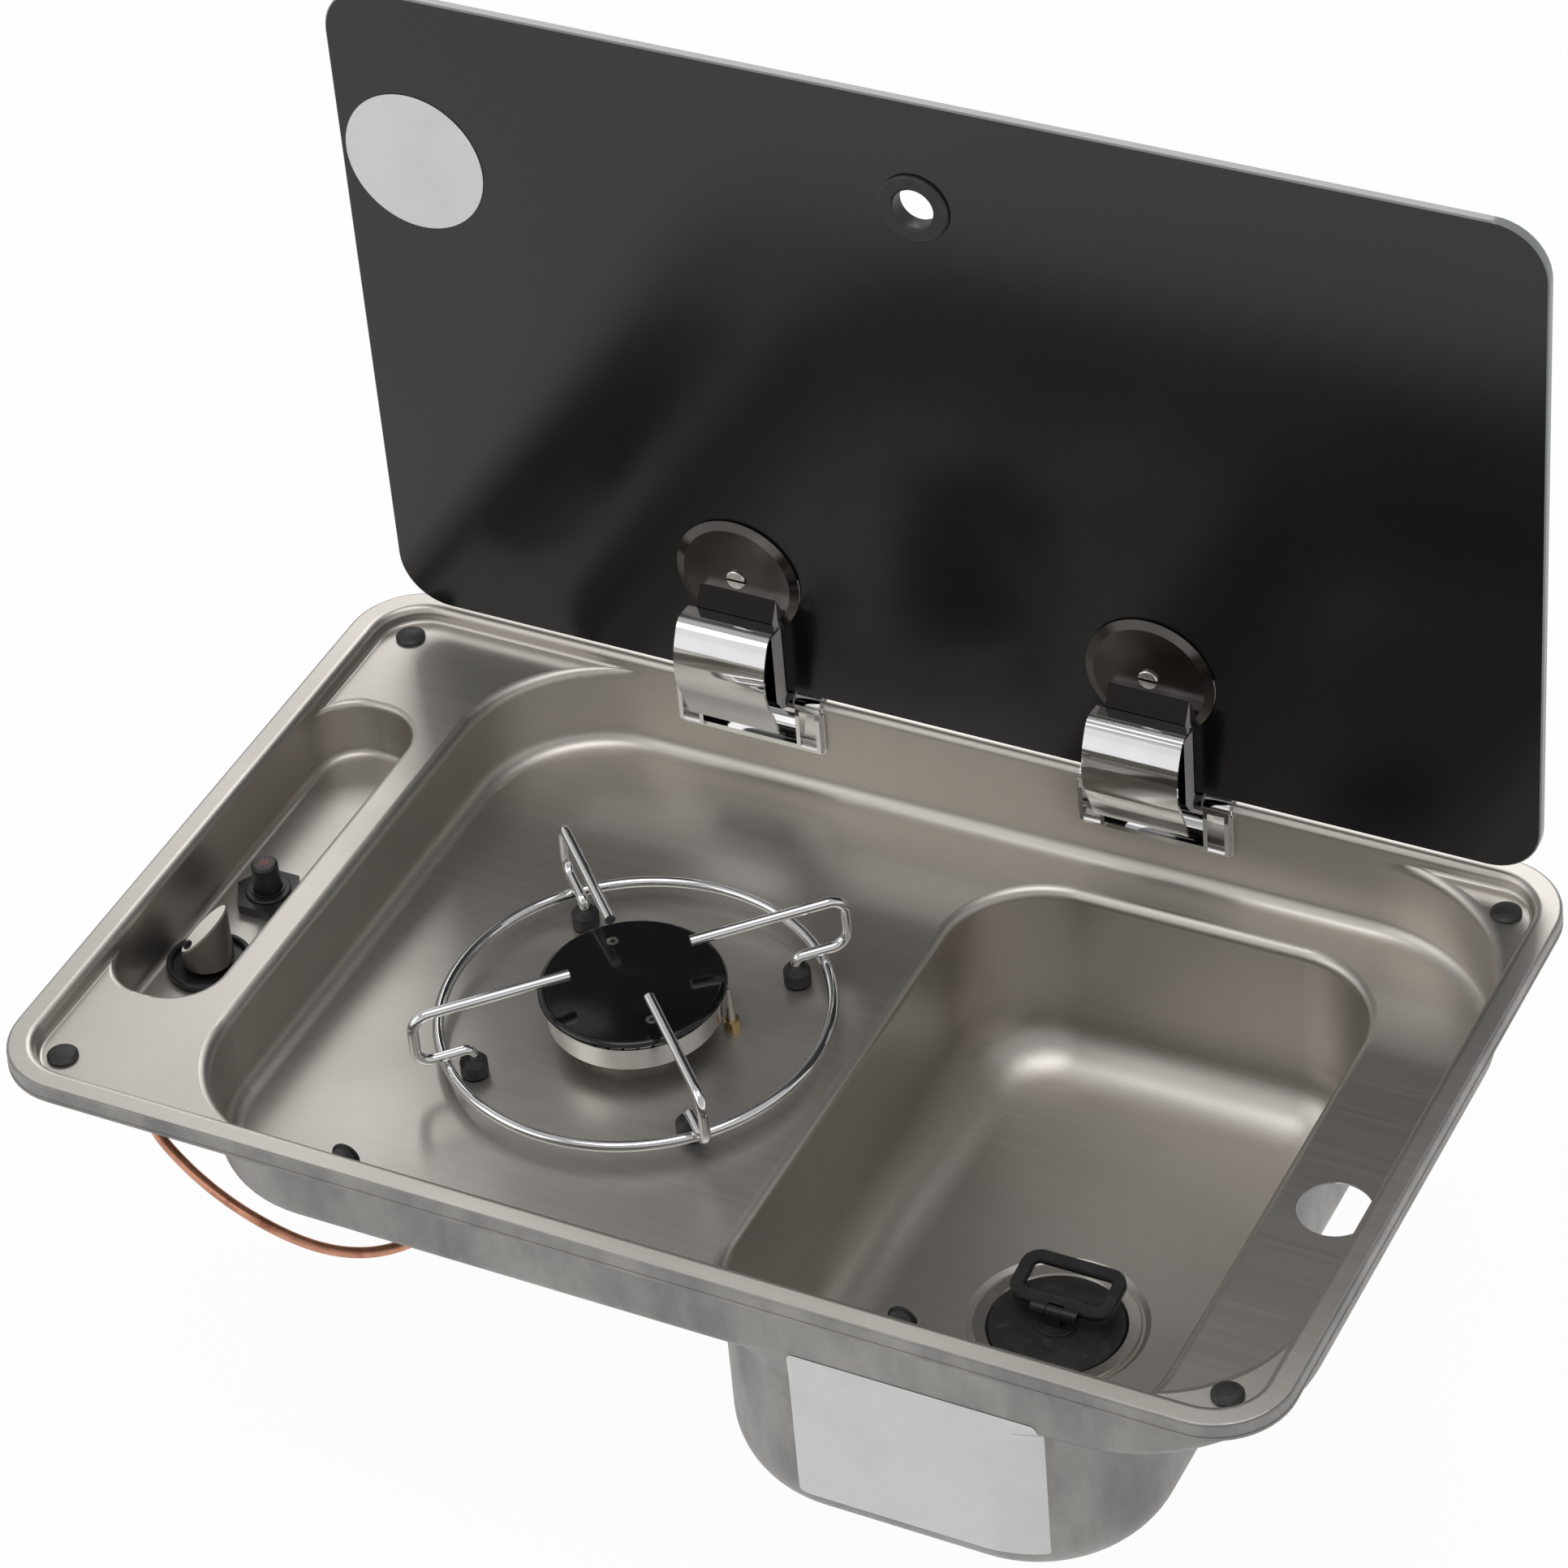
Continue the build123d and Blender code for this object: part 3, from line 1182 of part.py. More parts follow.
PLUG_BOTTOM = TAP_PLUG_TOP - TAP_PLUG_LENGTH
with BuildPart() as tap_plug:
    with BuildSketch(Plane.XY.offset(TAP_PLUG_TOP)):
        with Locations((TAP_X, TAP_Y)):
            Circle(TAP_PLUG_RADIUS)
    extrude(amount=-TAP_PLUG_LENGTH)
    add(spindle_section(TAP_PLUG_TOP, FIT))
    extrude(amount=spindle_bottom - KNOB_TRAVEL - 0.6 - TAP_PLUG_TOP, mode=Mode.SUBTRACT)
    with BuildSketch(Plane.YZ.offset(TAP_X)):
        with Locations((TAP_Y, OUTLET_Z)):
            Circle(JET_RADIUS / 2)
    extrude(amount=TAP_PLUG_RADIUS + 1, both=True, mode=Mode.SUBTRACT)
tap_plug.part.label = "tap_plug"
export_step(tap_plug.part, "parts/tap_plug.step")

TAP_TOP = RECESS_FLOOR - SHEET
TAP_BOTTOM = TAP_TOP - TAP_DEPTH
tap = turned(
    [
        (TAP_FLANGE, TAP_TOP),
        (TAP_PLUG_RADIUS + FIT, TAP_TOP),
        (TAP_PLUG_RADIUS + FIT, PLUG_BOTTOM - 0.4),
        (0, PLUG_BOTTOM - 0.4),
        (0, TAP_BOTTOM - INLET_LENGTH),
        (INLET_RADIUS, TAP_BOTTOM - INLET_LENGTH),
        (INLET_RADIUS, TAP_BOTTOM),
        (TAP_RADIUS - 2, TAP_BOTTOM),
        (TAP_RADIUS, TAP_BOTTOM + 2),
        (TAP_RADIUS, TAP_TOP - TAP_FLANGE_THICK),
        (TAP_FLANGE, TAP_TOP - TAP_FLANGE_THICK),
    ]
)
outlet_face = PIPE_ROUTE[0][1]
with BuildPart() as gas_tap:
    with Locations((TAP_X, TAP_Y)):
        add(tap)
    with BuildSketch(Plane.XZ.offset(-outlet_face)):
        with Locations((TAP_X, OUTLET_Z)):
            Circle(PORT_RADIUS)
            Circle(JET_RADIUS / 2, mode=Mode.SUBTRACT)
    extrude(amount=outlet_face - TAP_Y + TAP_RADIUS - 1)
    with BuildSketch(Plane.XZ.offset(-outlet_face)):
        with Locations((TAP_X, OUTLET_Z)):
            Circle(JET_RADIUS / 2)
    extrude(amount=outlet_face - TAP_Y, mode=Mode.SUBTRACT)
gas_tap.part.label = "gas_tap"
export_step(gas_tap.part, "parts/gas_tap.step")

# Igniter: collar nut, body and button
with BuildPart() as igniter_nut:
    with BuildSketch(Plane.XY.offset(RECESS_FLOOR)):
        with Locations((IGNITER_X, IGNITER_Y)):
            RegularPolygon(NUT_FLATS / 2, 6, major_radius=False)
    extrude(amount=NUT_HEIGHT)
    with BuildSketch(Plane.XY.offset(RECESS_FLOOR + NUT_HEIGHT)):
        with Locations((IGNITER_X, IGNITER_Y)):
            Circle(NUT_BOSS_RADIUS)
    extrude(amount=NUT_BOSS_HEIGHT)
    chamfer(igniter_nut.faces().sort_by(Axis.Z)[-1].edges(), 0.5)
    with BuildSketch(Plane.XY.offset(RECESS_FLOOR)):
        with Locations((IGNITER_X, IGNITER_Y)):
            Circle(BARREL_RADIUS)
    extrude(amount=NUT_HEIGHT + NUT_BOSS_HEIGHT, mode=Mode.SUBTRACT)
igniter_nut.part.label = "igniter_nut"
export_step(igniter_nut.part, "parts/igniter_nut.step")

BARREL_TOP = RECESS_FLOOR + NUT_HEIGHT + NUT_BOSS_HEIGHT + BARREL_ABOVE_NUT
GUIDE_TOP = BARREL_TOP - 3.0
GUIDE_BOTTOM = GUIDE_TOP - 14.0
IGNITER_BOTTOM = RECESS_FLOOR - SHEET - IGNITER_DEPTH
barrel = turned(
    [
        (IGNITER_BORE, BARREL_TOP),
        (BARREL_RADIUS, BARREL_TOP),
        (BARREL_RADIUS, RECESS_FLOOR - SHEET),
        (IGNITER_RADIUS, RECESS_FLOOR - SHEET),
        (IGNITER_RADIUS, IGNITER_BOTTOM + 1),
        (IGNITER_RADIUS - 1, IGNITER_BOTTOM),
        (0, IGNITER_BOTTOM),
        (0, GUIDE_BOTTOM - BUTTON_TRAVEL - 0.6),
        (IGNITER_BORE, GUIDE_BOTTOM - BUTTON_TRAVEL - 0.6),
    ]
)
with BuildPart() as igniter_body:
    with Locations((IGNITER_X, IGNITER_Y)):
        add(barrel)
    with Locations((IGNITER_X, IGNITER_Y, IGNITER_BOTTOM)):
        Box(TAG_WIDTH, TAG_THICK, TAG_LENGTH, align=(Align.CENTER, Align.CENTER, Align.MAX))
igniter_body.part.label = "igniter_body"
export_step(igniter_body.part, "parts/igniter_body.step")

button = turned(
    [
        (0, BUTTON_TOP),
        (BUTTON_TIP - 1.0, BUTTON_TOP),
        (BUTTON_TIP, BUTTON_TOP - 1.0),
        (BUTTON_ROOT, BARREL_TOP),
        (BUTTON_ROOT, GUIDE_TOP),
        (IGNITER_BORE - FIT, GUIDE_TOP),
        (IGNITER_BORE - FIT, GUIDE_BOTTOM),
        (0, GUIDE_BOTTOM),
    ]
)
with BuildPart() as igniter_button:
    with Locations((IGNITER_X, IGNITER_Y)):
        add(button)
igniter_button.part.label = "igniter_button"
export_step(igniter_button.part, "parts/igniter_button.step")

# Burner pipe from the tap to the injector holder, with a nut at each end
with BuildPart() as burner_pipe:
    with BuildLine() as pipe_line:
        Line(PIPE_ROUTE[0], PIPE_ROUTE[1])
        Spline(*PIPE_ROUTE[1:-1], tangents=((0, -1, 0), (0, 1, 0)))
        Line(PIPE_ROUTE[-2], PIPE_ROUTE[-1])
    with BuildSketch(Plane(origin=pipe_line.line @ 0, z_dir=pipe_line.line % 0)):
        Circle(PIPE_RADIUS)
    sweep(path=pipe_line.line)
burner_pipe.part.label = "burner_pipe"
export_step(burner_pipe.part, "parts/burner_pipe.step")

with BuildPart() as pipe_nut:
    with BuildSketch(Plane.XZ.offset(-outlet_face)):
        with Locations((TAP_X, OUTLET_Z)):
            RegularPolygon(PIPE_NUT_FLATS / 2, 6, major_radius=False)
            Circle(PIPE_RADIUS, mode=Mode.SUBTRACT)
    extrude(amount=PIPE_NUT_LENGTH)
    with BuildSketch(Plane.XZ.offset(-inlet_face)):
        with Locations((BURNER_X, INLET_Z)):
            RegularPolygon(PIPE_NUT_FLATS / 2, 6, major_radius=False)
            Circle(PIPE_RADIUS, mode=Mode.SUBTRACT)
    extrude(amount=PIPE_NUT_LENGTH)
pipe_nut.part.label = "pipe_nut"
export_step(pipe_nut.part, "parts/pipe_nut.step")

# Waste: flange with its grid, seal, cup and screw
FLANGE_TOP_Z = BOWL_FLOOR - DISH_DEPTH + FLANGE_SHEET
PLUG_EDGE_TOP = FLANGE_TOP_Z + 0.2
PLUG_EDGE_BOTTOM = PLUG_EDGE_TOP - PLUG_THICK
SEAT_TOP = PLUG_EDGE_BOTTOM - 0.4
GRID_TOP = SEAT_TOP - GRID_DEPTH - 1.6
flange_outline = turned(
    [
        (FLANGE_RADIUS, FLANGE_TOP_Z - FLANGE_SHEET),
        (FLANGE_RADIUS, FLANGE_TOP_Z - 0.6),
        (FLANGE_RADIUS - 0.6, FLANGE_TOP_Z),
        (FLANGE_WELL + 0.8, FLANGE_TOP_Z),
        (FLANGE_WELL, FLANGE_TOP_Z - 0.8),
        (FLANGE_WELL, SEAT_TOP),
        (GRID_RADIUS, GRID_TOP),
        (WASTE_SCREW_RADIUS, GRID_TOP),
        (WASTE_SCREW_RADIUS, GRID_TOP - FLANGE_SHEET),
        (GRID_RADIUS + 0.5, GRID_TOP - FLANGE_SHEET),
        (FLANGE_WELL + FLANGE_SHEET, SEAT_TOP - 0.8),
        (FLANGE_WELL + FLANGE_SHEET, FLANGE_TOP_Z - FLANGE_SHEET),
    ]
)
with BuildPart() as waste_flange:
    with Locations((WASTE_X, WASTE_Y)):
        add(flange_outline)
    with BuildSketch(Plane.XY.offset(GRID_TOP)):
        with Locations((WASTE_X, WASTE_Y)):
            with PolarLocations(GRID_HOLE_RING, GRID_HOLES):
                Circle(GRID_HOLE_RADIUS)
    extrude(amount=-FLANGE_SHEET, mode=Mode.SUBTRACT)
waste_flange.part.label = "waste_flange"
export_step(waste_flange.part, "parts/waste_flange.step")

SEAL_TOP = BOWL_FLOOR - DISH_DEPTH - SHEET
CUP_TOP = SEAL_TOP - SEAL_THICK
CUP_BOTTOM = CUP_TOP - CUP_DEPTH
with BuildPart() as waste_seal:
    with BuildSketch(Plane.XY.offset(SEAL_TOP)):
        with Locations((WASTE_X, WASTE_Y)):
            Circle(SEAL_RADIUS)
            Circle(FLANGE_WELL + FLANGE_SHEET + HOLE_GAP, mode=Mode.SUBTRACT)
    extrude(amount=-SEAL_THICK)
waste_seal.part.label = "waste_seal"
export_step(waste_seal.part, "parts/waste_seal.step")

cup = turned(
    [
        (SEAL_RADIUS, CUP_TOP),
        (CUP_RADIUS - CUP_WALL, CUP_TOP),
        (CUP_RADIUS - CUP_WALL, CUP_BOTTOM + CUP_WALL + 4),
        (CUP_RADIUS - CUP_WALL - 4, CUP_BOTTOM + CUP_WALL),
        (TAIL_BORE, CUP_BOTTOM + CUP_WALL - 1),
        (TAIL_BORE, CUP_BOTTOM - TAIL_LENGTH),
        (TAIL_RADIUS, CUP_BOTTOM - TAIL_LENGTH),
        (TAIL_RADIUS, CUP_BOTTOM),
        (CUP_RADIUS - 4, CUP_BOTTOM),
        (CUP_RADIUS, CUP_BOTTOM + 4),
        (CUP_RADIUS, CUP_TOP - CUP_LIP),
        (SEAL_RADIUS, CUP_TOP - CUP_LIP),
    ]
)
spider_top = GRID_TOP - WASTE_SCREW_LENGTH / 3
with BuildPart() as waste_cup:
    with Locations((WASTE_X, WASTE_Y)):
        add(cup)
    with BuildSketch(Plane.XY.offset(spider_top)):
        with Locations((WASTE_X, WASTE_Y)):
            Rectangle(2 * (CUP_RADIUS - CUP_WALL / 2), 2 * WASTE_SCREW_RADIUS)
            Circle(2 * WASTE_SCREW_RADIUS)
            Circle(WASTE_SCREW_RADIUS, mode=Mode.SUBTRACT)
    extrude(amount=-CUP_WALL)
waste_cup.part.label = "waste_cup"
export_step(waste_cup.part, "parts/waste_cup.step")

screw_head_base = GRID_TOP
waste_bolt = turned(
    [
        (0, spider_top - 2 * CUP_WALL),
        (WASTE_SCREW_RADIUS, spider_top - 2 * CUP_WALL),
        (WASTE_SCREW_RADIUS, screw_head_base),
        (WASTE_SCREW_HEAD, screw_head_base),
        (WASTE_SCREW_HEAD - 0.8, screw_head_base + WASTE_SCREW_HEAD_HEIGHT),
        (0, screw_head_base + WASTE_SCREW_HEAD_HEIGHT),
    ]
)
with BuildPart() as waste_screw:
    with Locations((WASTE_X, WASTE_Y)):
        add(waste_bolt)
waste_screw.part.label = "waste_screw"
export_step(waste_screw.part, "parts/waste_screw.step")

# Rubber plug with the lug that its folding handle turns on
PLUG_RADIUS = FLANGE_WELL - PLUG_GAP
BOSS_TOP = PLUG_EDGE_TOP + PLUG_DOME + PLUG_BOSS_HEIGHT
HANDLE_Z = BOSS_TOP + HANDLE_AXIS_RISE
HANDLE_Y = WASTE_Y + HANDLE_AXIS_Y
stopper = turned(
    [
        (0, PLUG_EDGE_BOTTOM),
        (PLUG_LIP_RADIUS - 2, PLUG_EDGE_BOTTOM),
        (PLUG_LIP_RADIUS - 2, PLUG_EDGE_BOTTOM - PLUG_LIP_DEPTH),
        (PLUG_LIP_RADIUS, PLUG_EDGE_BOTTOM - PLUG_LIP_DEPTH),
        (PLUG_LIP_RADIUS + 1, PLUG_EDGE_BOTTOM),
        (PLUG_RADIUS, PLUG_EDGE_BOTTOM),
        (PLUG_RADIUS, PLUG_EDGE_TOP - 0.6),
        (PLUG_RADIUS - 0.6, PLUG_EDGE_TOP),
        (0.6 * PLUG_RADIUS, PLUG_EDGE_TOP + 0.8 * PLUG_DOME),
        (PLUG_BOSS_RADIUS, PLUG_EDGE_TOP + PLUG_DOME),
        (PLUG_BOSS_RADIUS, BOSS_TOP - 0.4),
        (PLUG_BOSS_RADIUS - 0.4, BOSS_TOP),
        (0, BOSS_TOP),
    ]
)


def handle_plane(x, turn):
    """The handle's side view at x, turned up from level by an angle in degrees."""
    lean = math.radians(turn)
    return Plane(
        origin=(x, HANDLE_Y, HANDLE_Z), x_dir=(0, math.cos(lean), math.sin(lean)), z_dir=(1, 0, 0)
    )


with BuildPart() as waste_plug:
    with Locations((WASTE_X, WASTE_Y)):
        add(stopper)
    with BuildSketch(handle_plane(WASTE_X - LUG_WIDTH / 2, 0)):
        Circle(LUG_RADIUS)
        Rectangle(2 * LUG_RADIUS, HANDLE_AXIS_RISE + PLUG_BOSS_HEIGHT, align=(Align.CENTER, Align.MAX))
    extrude(amount=LUG_WIDTH)
    with BuildSketch(handle_plane(WASTE_X - LUG_WIDTH / 2, 0)):
        Circle(HANDLE_PIN_RADIUS + FIT)
    extrude(amount=LUG_WIDTH, mode=Mode.SUBTRACT)
waste_plug.part.label = "waste_plug"
export_step(waste_plug.part, "parts/waste_plug.step")

lug_space = LUG_WIDTH + 2 * LUG_GAP
near_bar = HANDLE_REACH - HANDLE_FRAME / 2 + HANDLE_BAR / 2
pin_length = lug_space + 2 * HANDLE_KNUCKLE - 1
handle_flat = Plane(
    origin=(WASTE_X, HANDLE_Y, HANDLE_Z),
    x_dir=(1, 0, 0),
    z_dir=(0, -math.sin(math.radians(HANDLE_TILT)), math.cos(math.radians(HANDLE_TILT))),
)
with BuildPart() as plug_handle:
    with BuildSketch(handle_flat.offset(-HANDLE_THICK / 2)):
        with Locations((0, HANDLE_REACH)):
            RectangleRounded(HANDLE_WIDTH, HANDLE_FRAME, HANDLE_CORNER)
            RectangleRounded(
                HANDLE_WIDTH - 2 * HANDLE_BAR,
                HANDLE_FRAME - 2 * HANDLE_BAR,
                HANDLE_CORNER - HANDLE_BAR,
                mode=Mode.SUBTRACT,
            )
    extrude(amount=HANDLE_THICK)
    flats = plug_handle.faces().filter_by(lambda face: abs(face.normal_at().dot(handle_flat.z_dir)) > 0.99)
    chamfer(flats.edges(), 0.8)
    for side in (-1, 1):
        middle = side * (lug_space + HANDLE_KNUCKLE) / 2
        with BuildSketch(handle_plane(WASTE_X + middle - HANDLE_KNUCKLE / 2, HANDLE_TILT)):
            Circle(HANDLE_KNUCKLE_RADIUS)
            Rectangle(near_bar, HANDLE_THICK, align=(Align.MIN, Align.CENTER))
        extrude(amount=HANDLE_KNUCKLE)
    with BuildSketch(handle_flat.offset(-HANDLE_THICK)):
        Rectangle(lug_space, 2 * (LUG_RADIUS + LUG_GAP))
    extrude(amount=2 * HANDLE_THICK, mode=Mode.SUBTRACT)
    with BuildSketch(handle_plane(WASTE_X - pin_length / 2, 0)):
        Circle(HANDLE_PIN_RADIUS)
    extrude(amount=pin_length, mode=Mode.SUBTRACT)
plug_handle.part.label = "plug_handle"
export_step(plug_handle.part, "parts/plug_handle.step")

with BuildPart() as plug_pin:
    with BuildSketch(handle_plane(WASTE_X - pin_length / 2, 0)):
        Circle(HANDLE_PIN_RADIUS)
    extrude(amount=pin_length)
plug_pin.part.label = "plug_pin"
export_step(plug_pin.part, "parts/plug_pin.step")
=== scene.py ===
import math

import bmesh
import bpy
from mathutils import Matrix, Vector


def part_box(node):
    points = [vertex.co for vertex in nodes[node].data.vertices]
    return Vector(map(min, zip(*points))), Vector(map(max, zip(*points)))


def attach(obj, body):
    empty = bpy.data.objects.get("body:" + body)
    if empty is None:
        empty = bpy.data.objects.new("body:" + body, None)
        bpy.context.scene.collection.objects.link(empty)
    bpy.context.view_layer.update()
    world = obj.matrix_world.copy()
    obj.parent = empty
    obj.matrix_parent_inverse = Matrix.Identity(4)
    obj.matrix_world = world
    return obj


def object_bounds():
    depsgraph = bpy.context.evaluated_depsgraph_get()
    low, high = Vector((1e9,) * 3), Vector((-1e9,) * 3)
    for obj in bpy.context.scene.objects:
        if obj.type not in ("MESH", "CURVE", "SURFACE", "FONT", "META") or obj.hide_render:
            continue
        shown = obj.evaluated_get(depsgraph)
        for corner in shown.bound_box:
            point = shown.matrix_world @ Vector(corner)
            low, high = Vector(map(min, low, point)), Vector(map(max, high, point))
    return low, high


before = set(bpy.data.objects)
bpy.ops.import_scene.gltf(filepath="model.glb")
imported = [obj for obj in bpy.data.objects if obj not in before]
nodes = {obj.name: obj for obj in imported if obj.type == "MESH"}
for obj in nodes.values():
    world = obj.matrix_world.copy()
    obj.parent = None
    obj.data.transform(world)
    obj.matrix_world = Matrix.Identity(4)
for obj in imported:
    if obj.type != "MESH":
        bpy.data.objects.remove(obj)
cad_low, cad_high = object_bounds()

# Tray and bowl: stainless sheet, deep drawn into a rim, a step, a hob well, a recess and a bowl.
# Its satin face is even and warm, with a rolled grain along the length that only just shows and a
# few wiped smudges. Outside, where the press has dragged on it, the sheet is hazier and rougher, and its
# faces that point out or down are painted much darker as painted shade.
STEEL = (0.55, 0.522, 0.484, 1)
STEEL_GRAIN = (0.585, 0.558, 0.518, 1)
STEEL_SMUDGE = (0.47, 0.445, 0.41, 1)
STEEL_HAZE_AND_SHADE = (0.185, 0.183, 0.178, 1)
GRAIN_STRETCH = (6, 700, 700)
PRESSING_SIDE = 0.12
PRESSING_RIGHT = 0.20
PRESSING_LEFT = -0.26
SIDE_FACING = 0.3
UNDER_FACING = 0.2


class Value:
    """A number at one socket, which ordinary sums carry on as Math nodes."""

    def __init__(self, finish, socket):
        self.finish = finish
        self.socket = socket

    def maths(self, operation, first, second):
        return self.finish.node("Math", {"operation": operation}, {0: first, 1: second})

    def __add__(self, other):
        return self.maths("ADD", self, other)

    def __radd__(self, other):
        return self.maths("ADD", other, self)

    def __sub__(self, other):
        return self.maths("SUBTRACT", self, other)

    def __rsub__(self, other):
        return self.maths("SUBTRACT", other, self)

    def __mul__(self, other):
        return self.maths("MULTIPLY", self, other)

    def __rmul__(self, other):
        return self.maths("MULTIPLY", other, self)

    def __gt__(self, other):
        return self.maths("GREATER_THAN", self, other)

    def __lt__(self, other):
        return self.maths("LESS_THAN", self, other)

    def __abs__(self):
        return self.maths("ABSOLUTE", self, 0)


class Finish:
    """The surface of one material, built node by node."""

    def __init__(self, name, tree=None):
        if tree is None:
            self.material = bpy.data.materials.new(name)
            self.material.use_nodes = True
            tree = self.material.node_tree
            self.shader = tree.nodes["Principled BSDF"]
        self.tree = tree

    def feed(self, node, sockets):
        """Sets or links the sockets of a node."""
        for key, value in sockets.items():
            if isinstance(value, Value):
                self.tree.links.new(value.socket, node.inputs[key])
            else:
                node.inputs[key].default_value = value

    def node(self, kind, settings=None, sockets=None, output=0):
        """Makes a node with its settings and then its sockets, and gives one of its outputs."""
        made = self.tree.nodes.new("ShaderNode" + kind)
        for key, value in (settings or {}).items():
            setattr(made, key, value)
        self.feed(made, sockets or {})
        return Value(self, made.outputs[output])

    def surface(self, **sockets):
        """Feeds the shader, with base_color for Base Color and so on."""
        self.feed(self.shader, {key.replace("_", " ").title(): value for key, value in sockets.items()})

    def place(self, stretch=(1, 1, 1)):
        """Where a point is on the piece, in metres times the stretch."""
        spot = self.node("TexCoord", output="Object")
        return self.node("VectorMath", {"operation": "MULTIPLY"}, {0: spot, 1: stretch})

    def facing(self):
        """Which way a face points, before any bump."""
        return self.node("NewGeometry", output="True Normal")

    def along(self, vector, axis):
        """One part of a vector."""
        return self.node("SeparateXYZ", {}, {0: vector}, axis)

    def length(self, vector):
        """How long a vector is."""
        return self.node("VectorMath", {"operation": "LENGTH"}, {0: vector}, 1)

    def dot(self, vector, direction):
        """How far a vector reaches along a direction."""
        return self.node("VectorMath", {"operation": "DOT_PRODUCT"}, {0: vector, 1: direction}, 1)

    def either(self, first, second):
        """One where either of two masks is one."""
        return self.node("Math", {"operation": "ADD", "use_clamp": True}, {0: first, 1: second})

    def speckle(self, scale, detail=2.0, stretch=(1, 1, 1), roughness=0.5):
        """Soft noise from 0 to 1, scale being its grains in a metre."""
        sockets = {"Vector": self.place(stretch), "Scale": scale, "Detail": detail, "Roughness": roughness}
        return self.node("TexNoise", {}, sockets)

    def ramp(self, value, low, high, bottom=0.0, top=1.0):
        """The value spread from low..high to bottom..top, smoothly and no further."""
        sockets = {"Value": value, "From Min": low, "From Max": high, "To Min": bottom, "To Max": top}
        return self.node("MapRange", {"interpolation_type": "SMOOTHSTEP"}, sockets)

    def mix(self, share, first, second):
        """Two colours mixed by a share."""
        return self.node("Mix", {"data_type": "RGBA"}, {0: share, 6: first, 7: second}, 2)

    def bump(self, height, distance, strength):
        """A normal that a height field tilts, distance being its full height in metres."""
        return self.node("Bump", {}, {"Height": height, "Distance": distance, "Strength": strength})

    def dress(self, *names):
        """Gives this finish to whole nodes of the model."""
        for name in names:
            nodes[name].data.materials.clear()
            nodes[name].data.materials.append(self.material)


steel = Finish("pressed_steel")
steel_facing = steel.facing()
facing_x, facing_y, facing_z = (steel.along(steel_facing, axis) for axis in "XYZ")
steel_place = steel.place()
steel_x, steel_y = steel.along(steel_place, "X"), steel.along(steel_place, "Y")
out_front = (steel_y < -PRESSING_SIDE) * (facing_y < -SIDE_FACING)
out_back = (steel_y > PRESSING_SIDE) * (facing_y > SIDE_FACING)
out_right = (steel_x > PRESSING_RIGHT) * (facing_x > SIDE_FACING)
out_left = (steel_x < PRESSING_LEFT) * (facing_x < -SIDE_FACING)
underside = facing_z < -UNDER_FACING
outside_haze_and_shade = steel.either(out_front + out_back, out_right + out_left + underside)
grain = steel.speckle(1.0, 2.0, GRAIN_STRETCH)
cloud = steel.speckle(6.0, 3.0)
mottle = steel.speckle(26.0, 4.0, (1, 1, 0.45), 0.65)
steel_colour = steel.mix(steel.ramp(cloud, 0.35, 0.75), STEEL, STEEL_SMUDGE)
steel_colour = steel.mix(steel.ramp(grain, 0.3, 0.8, 0.0, 0.5), steel_colour, STEEL_GRAIN)
# Faces that point out or down are darkened towards the haze colour: a real mottled haze, and painted shade.
steel_colour = steel.mix(outside_haze_and_shade * steel.ramp(mottle, 0.2, 0.8, 0.6, 1.0), steel_colour, STEEL_HAZE_AND_SHADE)
steel_rough = steel.ramp(cloud, 0.3, 0.75, 0.37, 0.43) + steel.ramp(grain, 0.3, 0.7, -0.01, 0.01)
steel.surface(
    base_color=steel_colour,
    metallic=1.0,
    roughness=steel_rough + outside_haze_and_shade * steel.ramp(mottle, 0.25, 0.75, 0.0, 0.08),
)
steel.dress("tray_pressing", "bowl_pressing")

# Bumpers and studs: soft black rubber, moulded and pushed into holes in the sheet.
# The rubber is matt with a fine skin, and a little dust greys it.
RUBBER = (0.014, 0.014, 0.014, 1)
RUBBER_DUST = (0.035, 0.034, 0.033, 1)
rubber = Finish("black_rubber")
dust = rubber.speckle(900.0, 3.0)
rubber.surface(
    base_color=rubber.mix(rubber.ramp(dust, 0.45, 0.8), RUBBER, RUBBER_DUST),
    roughness=rubber.ramp(rubber.speckle(160.0), 0.3, 0.7, 0.42, 0.58),
    normal=rubber.bump(rubber.speckle(2600.0, 2.0), 0.00004, 0.6),
)
rubber.dress("lid_bumper", "wall_stud", "lid_grommet", "hinge_pad", "support_foot", "waste_seal")

# Lid: toughened glass, 5 mm thick, printed black all over its back, with ground and polished edges.
# The face mirrors the tray softly, with faint wiped smears, and the clear edge is painted pale: its own
# unprinted glass, and a painted highlight.
GLASS = (0.0055, 0.0055, 0.006, 1)
GLASS_EDGE_AND_HIGHLIGHT = (0.20, 0.215, 0.21, 1)
PRINT_FACING = 0.85
EDGE_POLISH = 0.06
glass = Finish("smoked_glass")
edge = abs(glass.along(glass.facing(), "Y")) < PRINT_FACING
smear = glass.speckle(3.2, 3.0, (1, 1, 2.2), 0.6)
glass.surface(
    # The edge faces are painted pale: the unprinted glass, and a painted highlight.
    base_color=glass.mix(edge, GLASS, GLASS_EDGE_AND_HIGHLIGHT),
    roughness=glass.ramp(smear, 0.25, 0.75, 0.17, 0.21) - EDGE_POLISH * edge,
)
glass.dress("lid_glass")

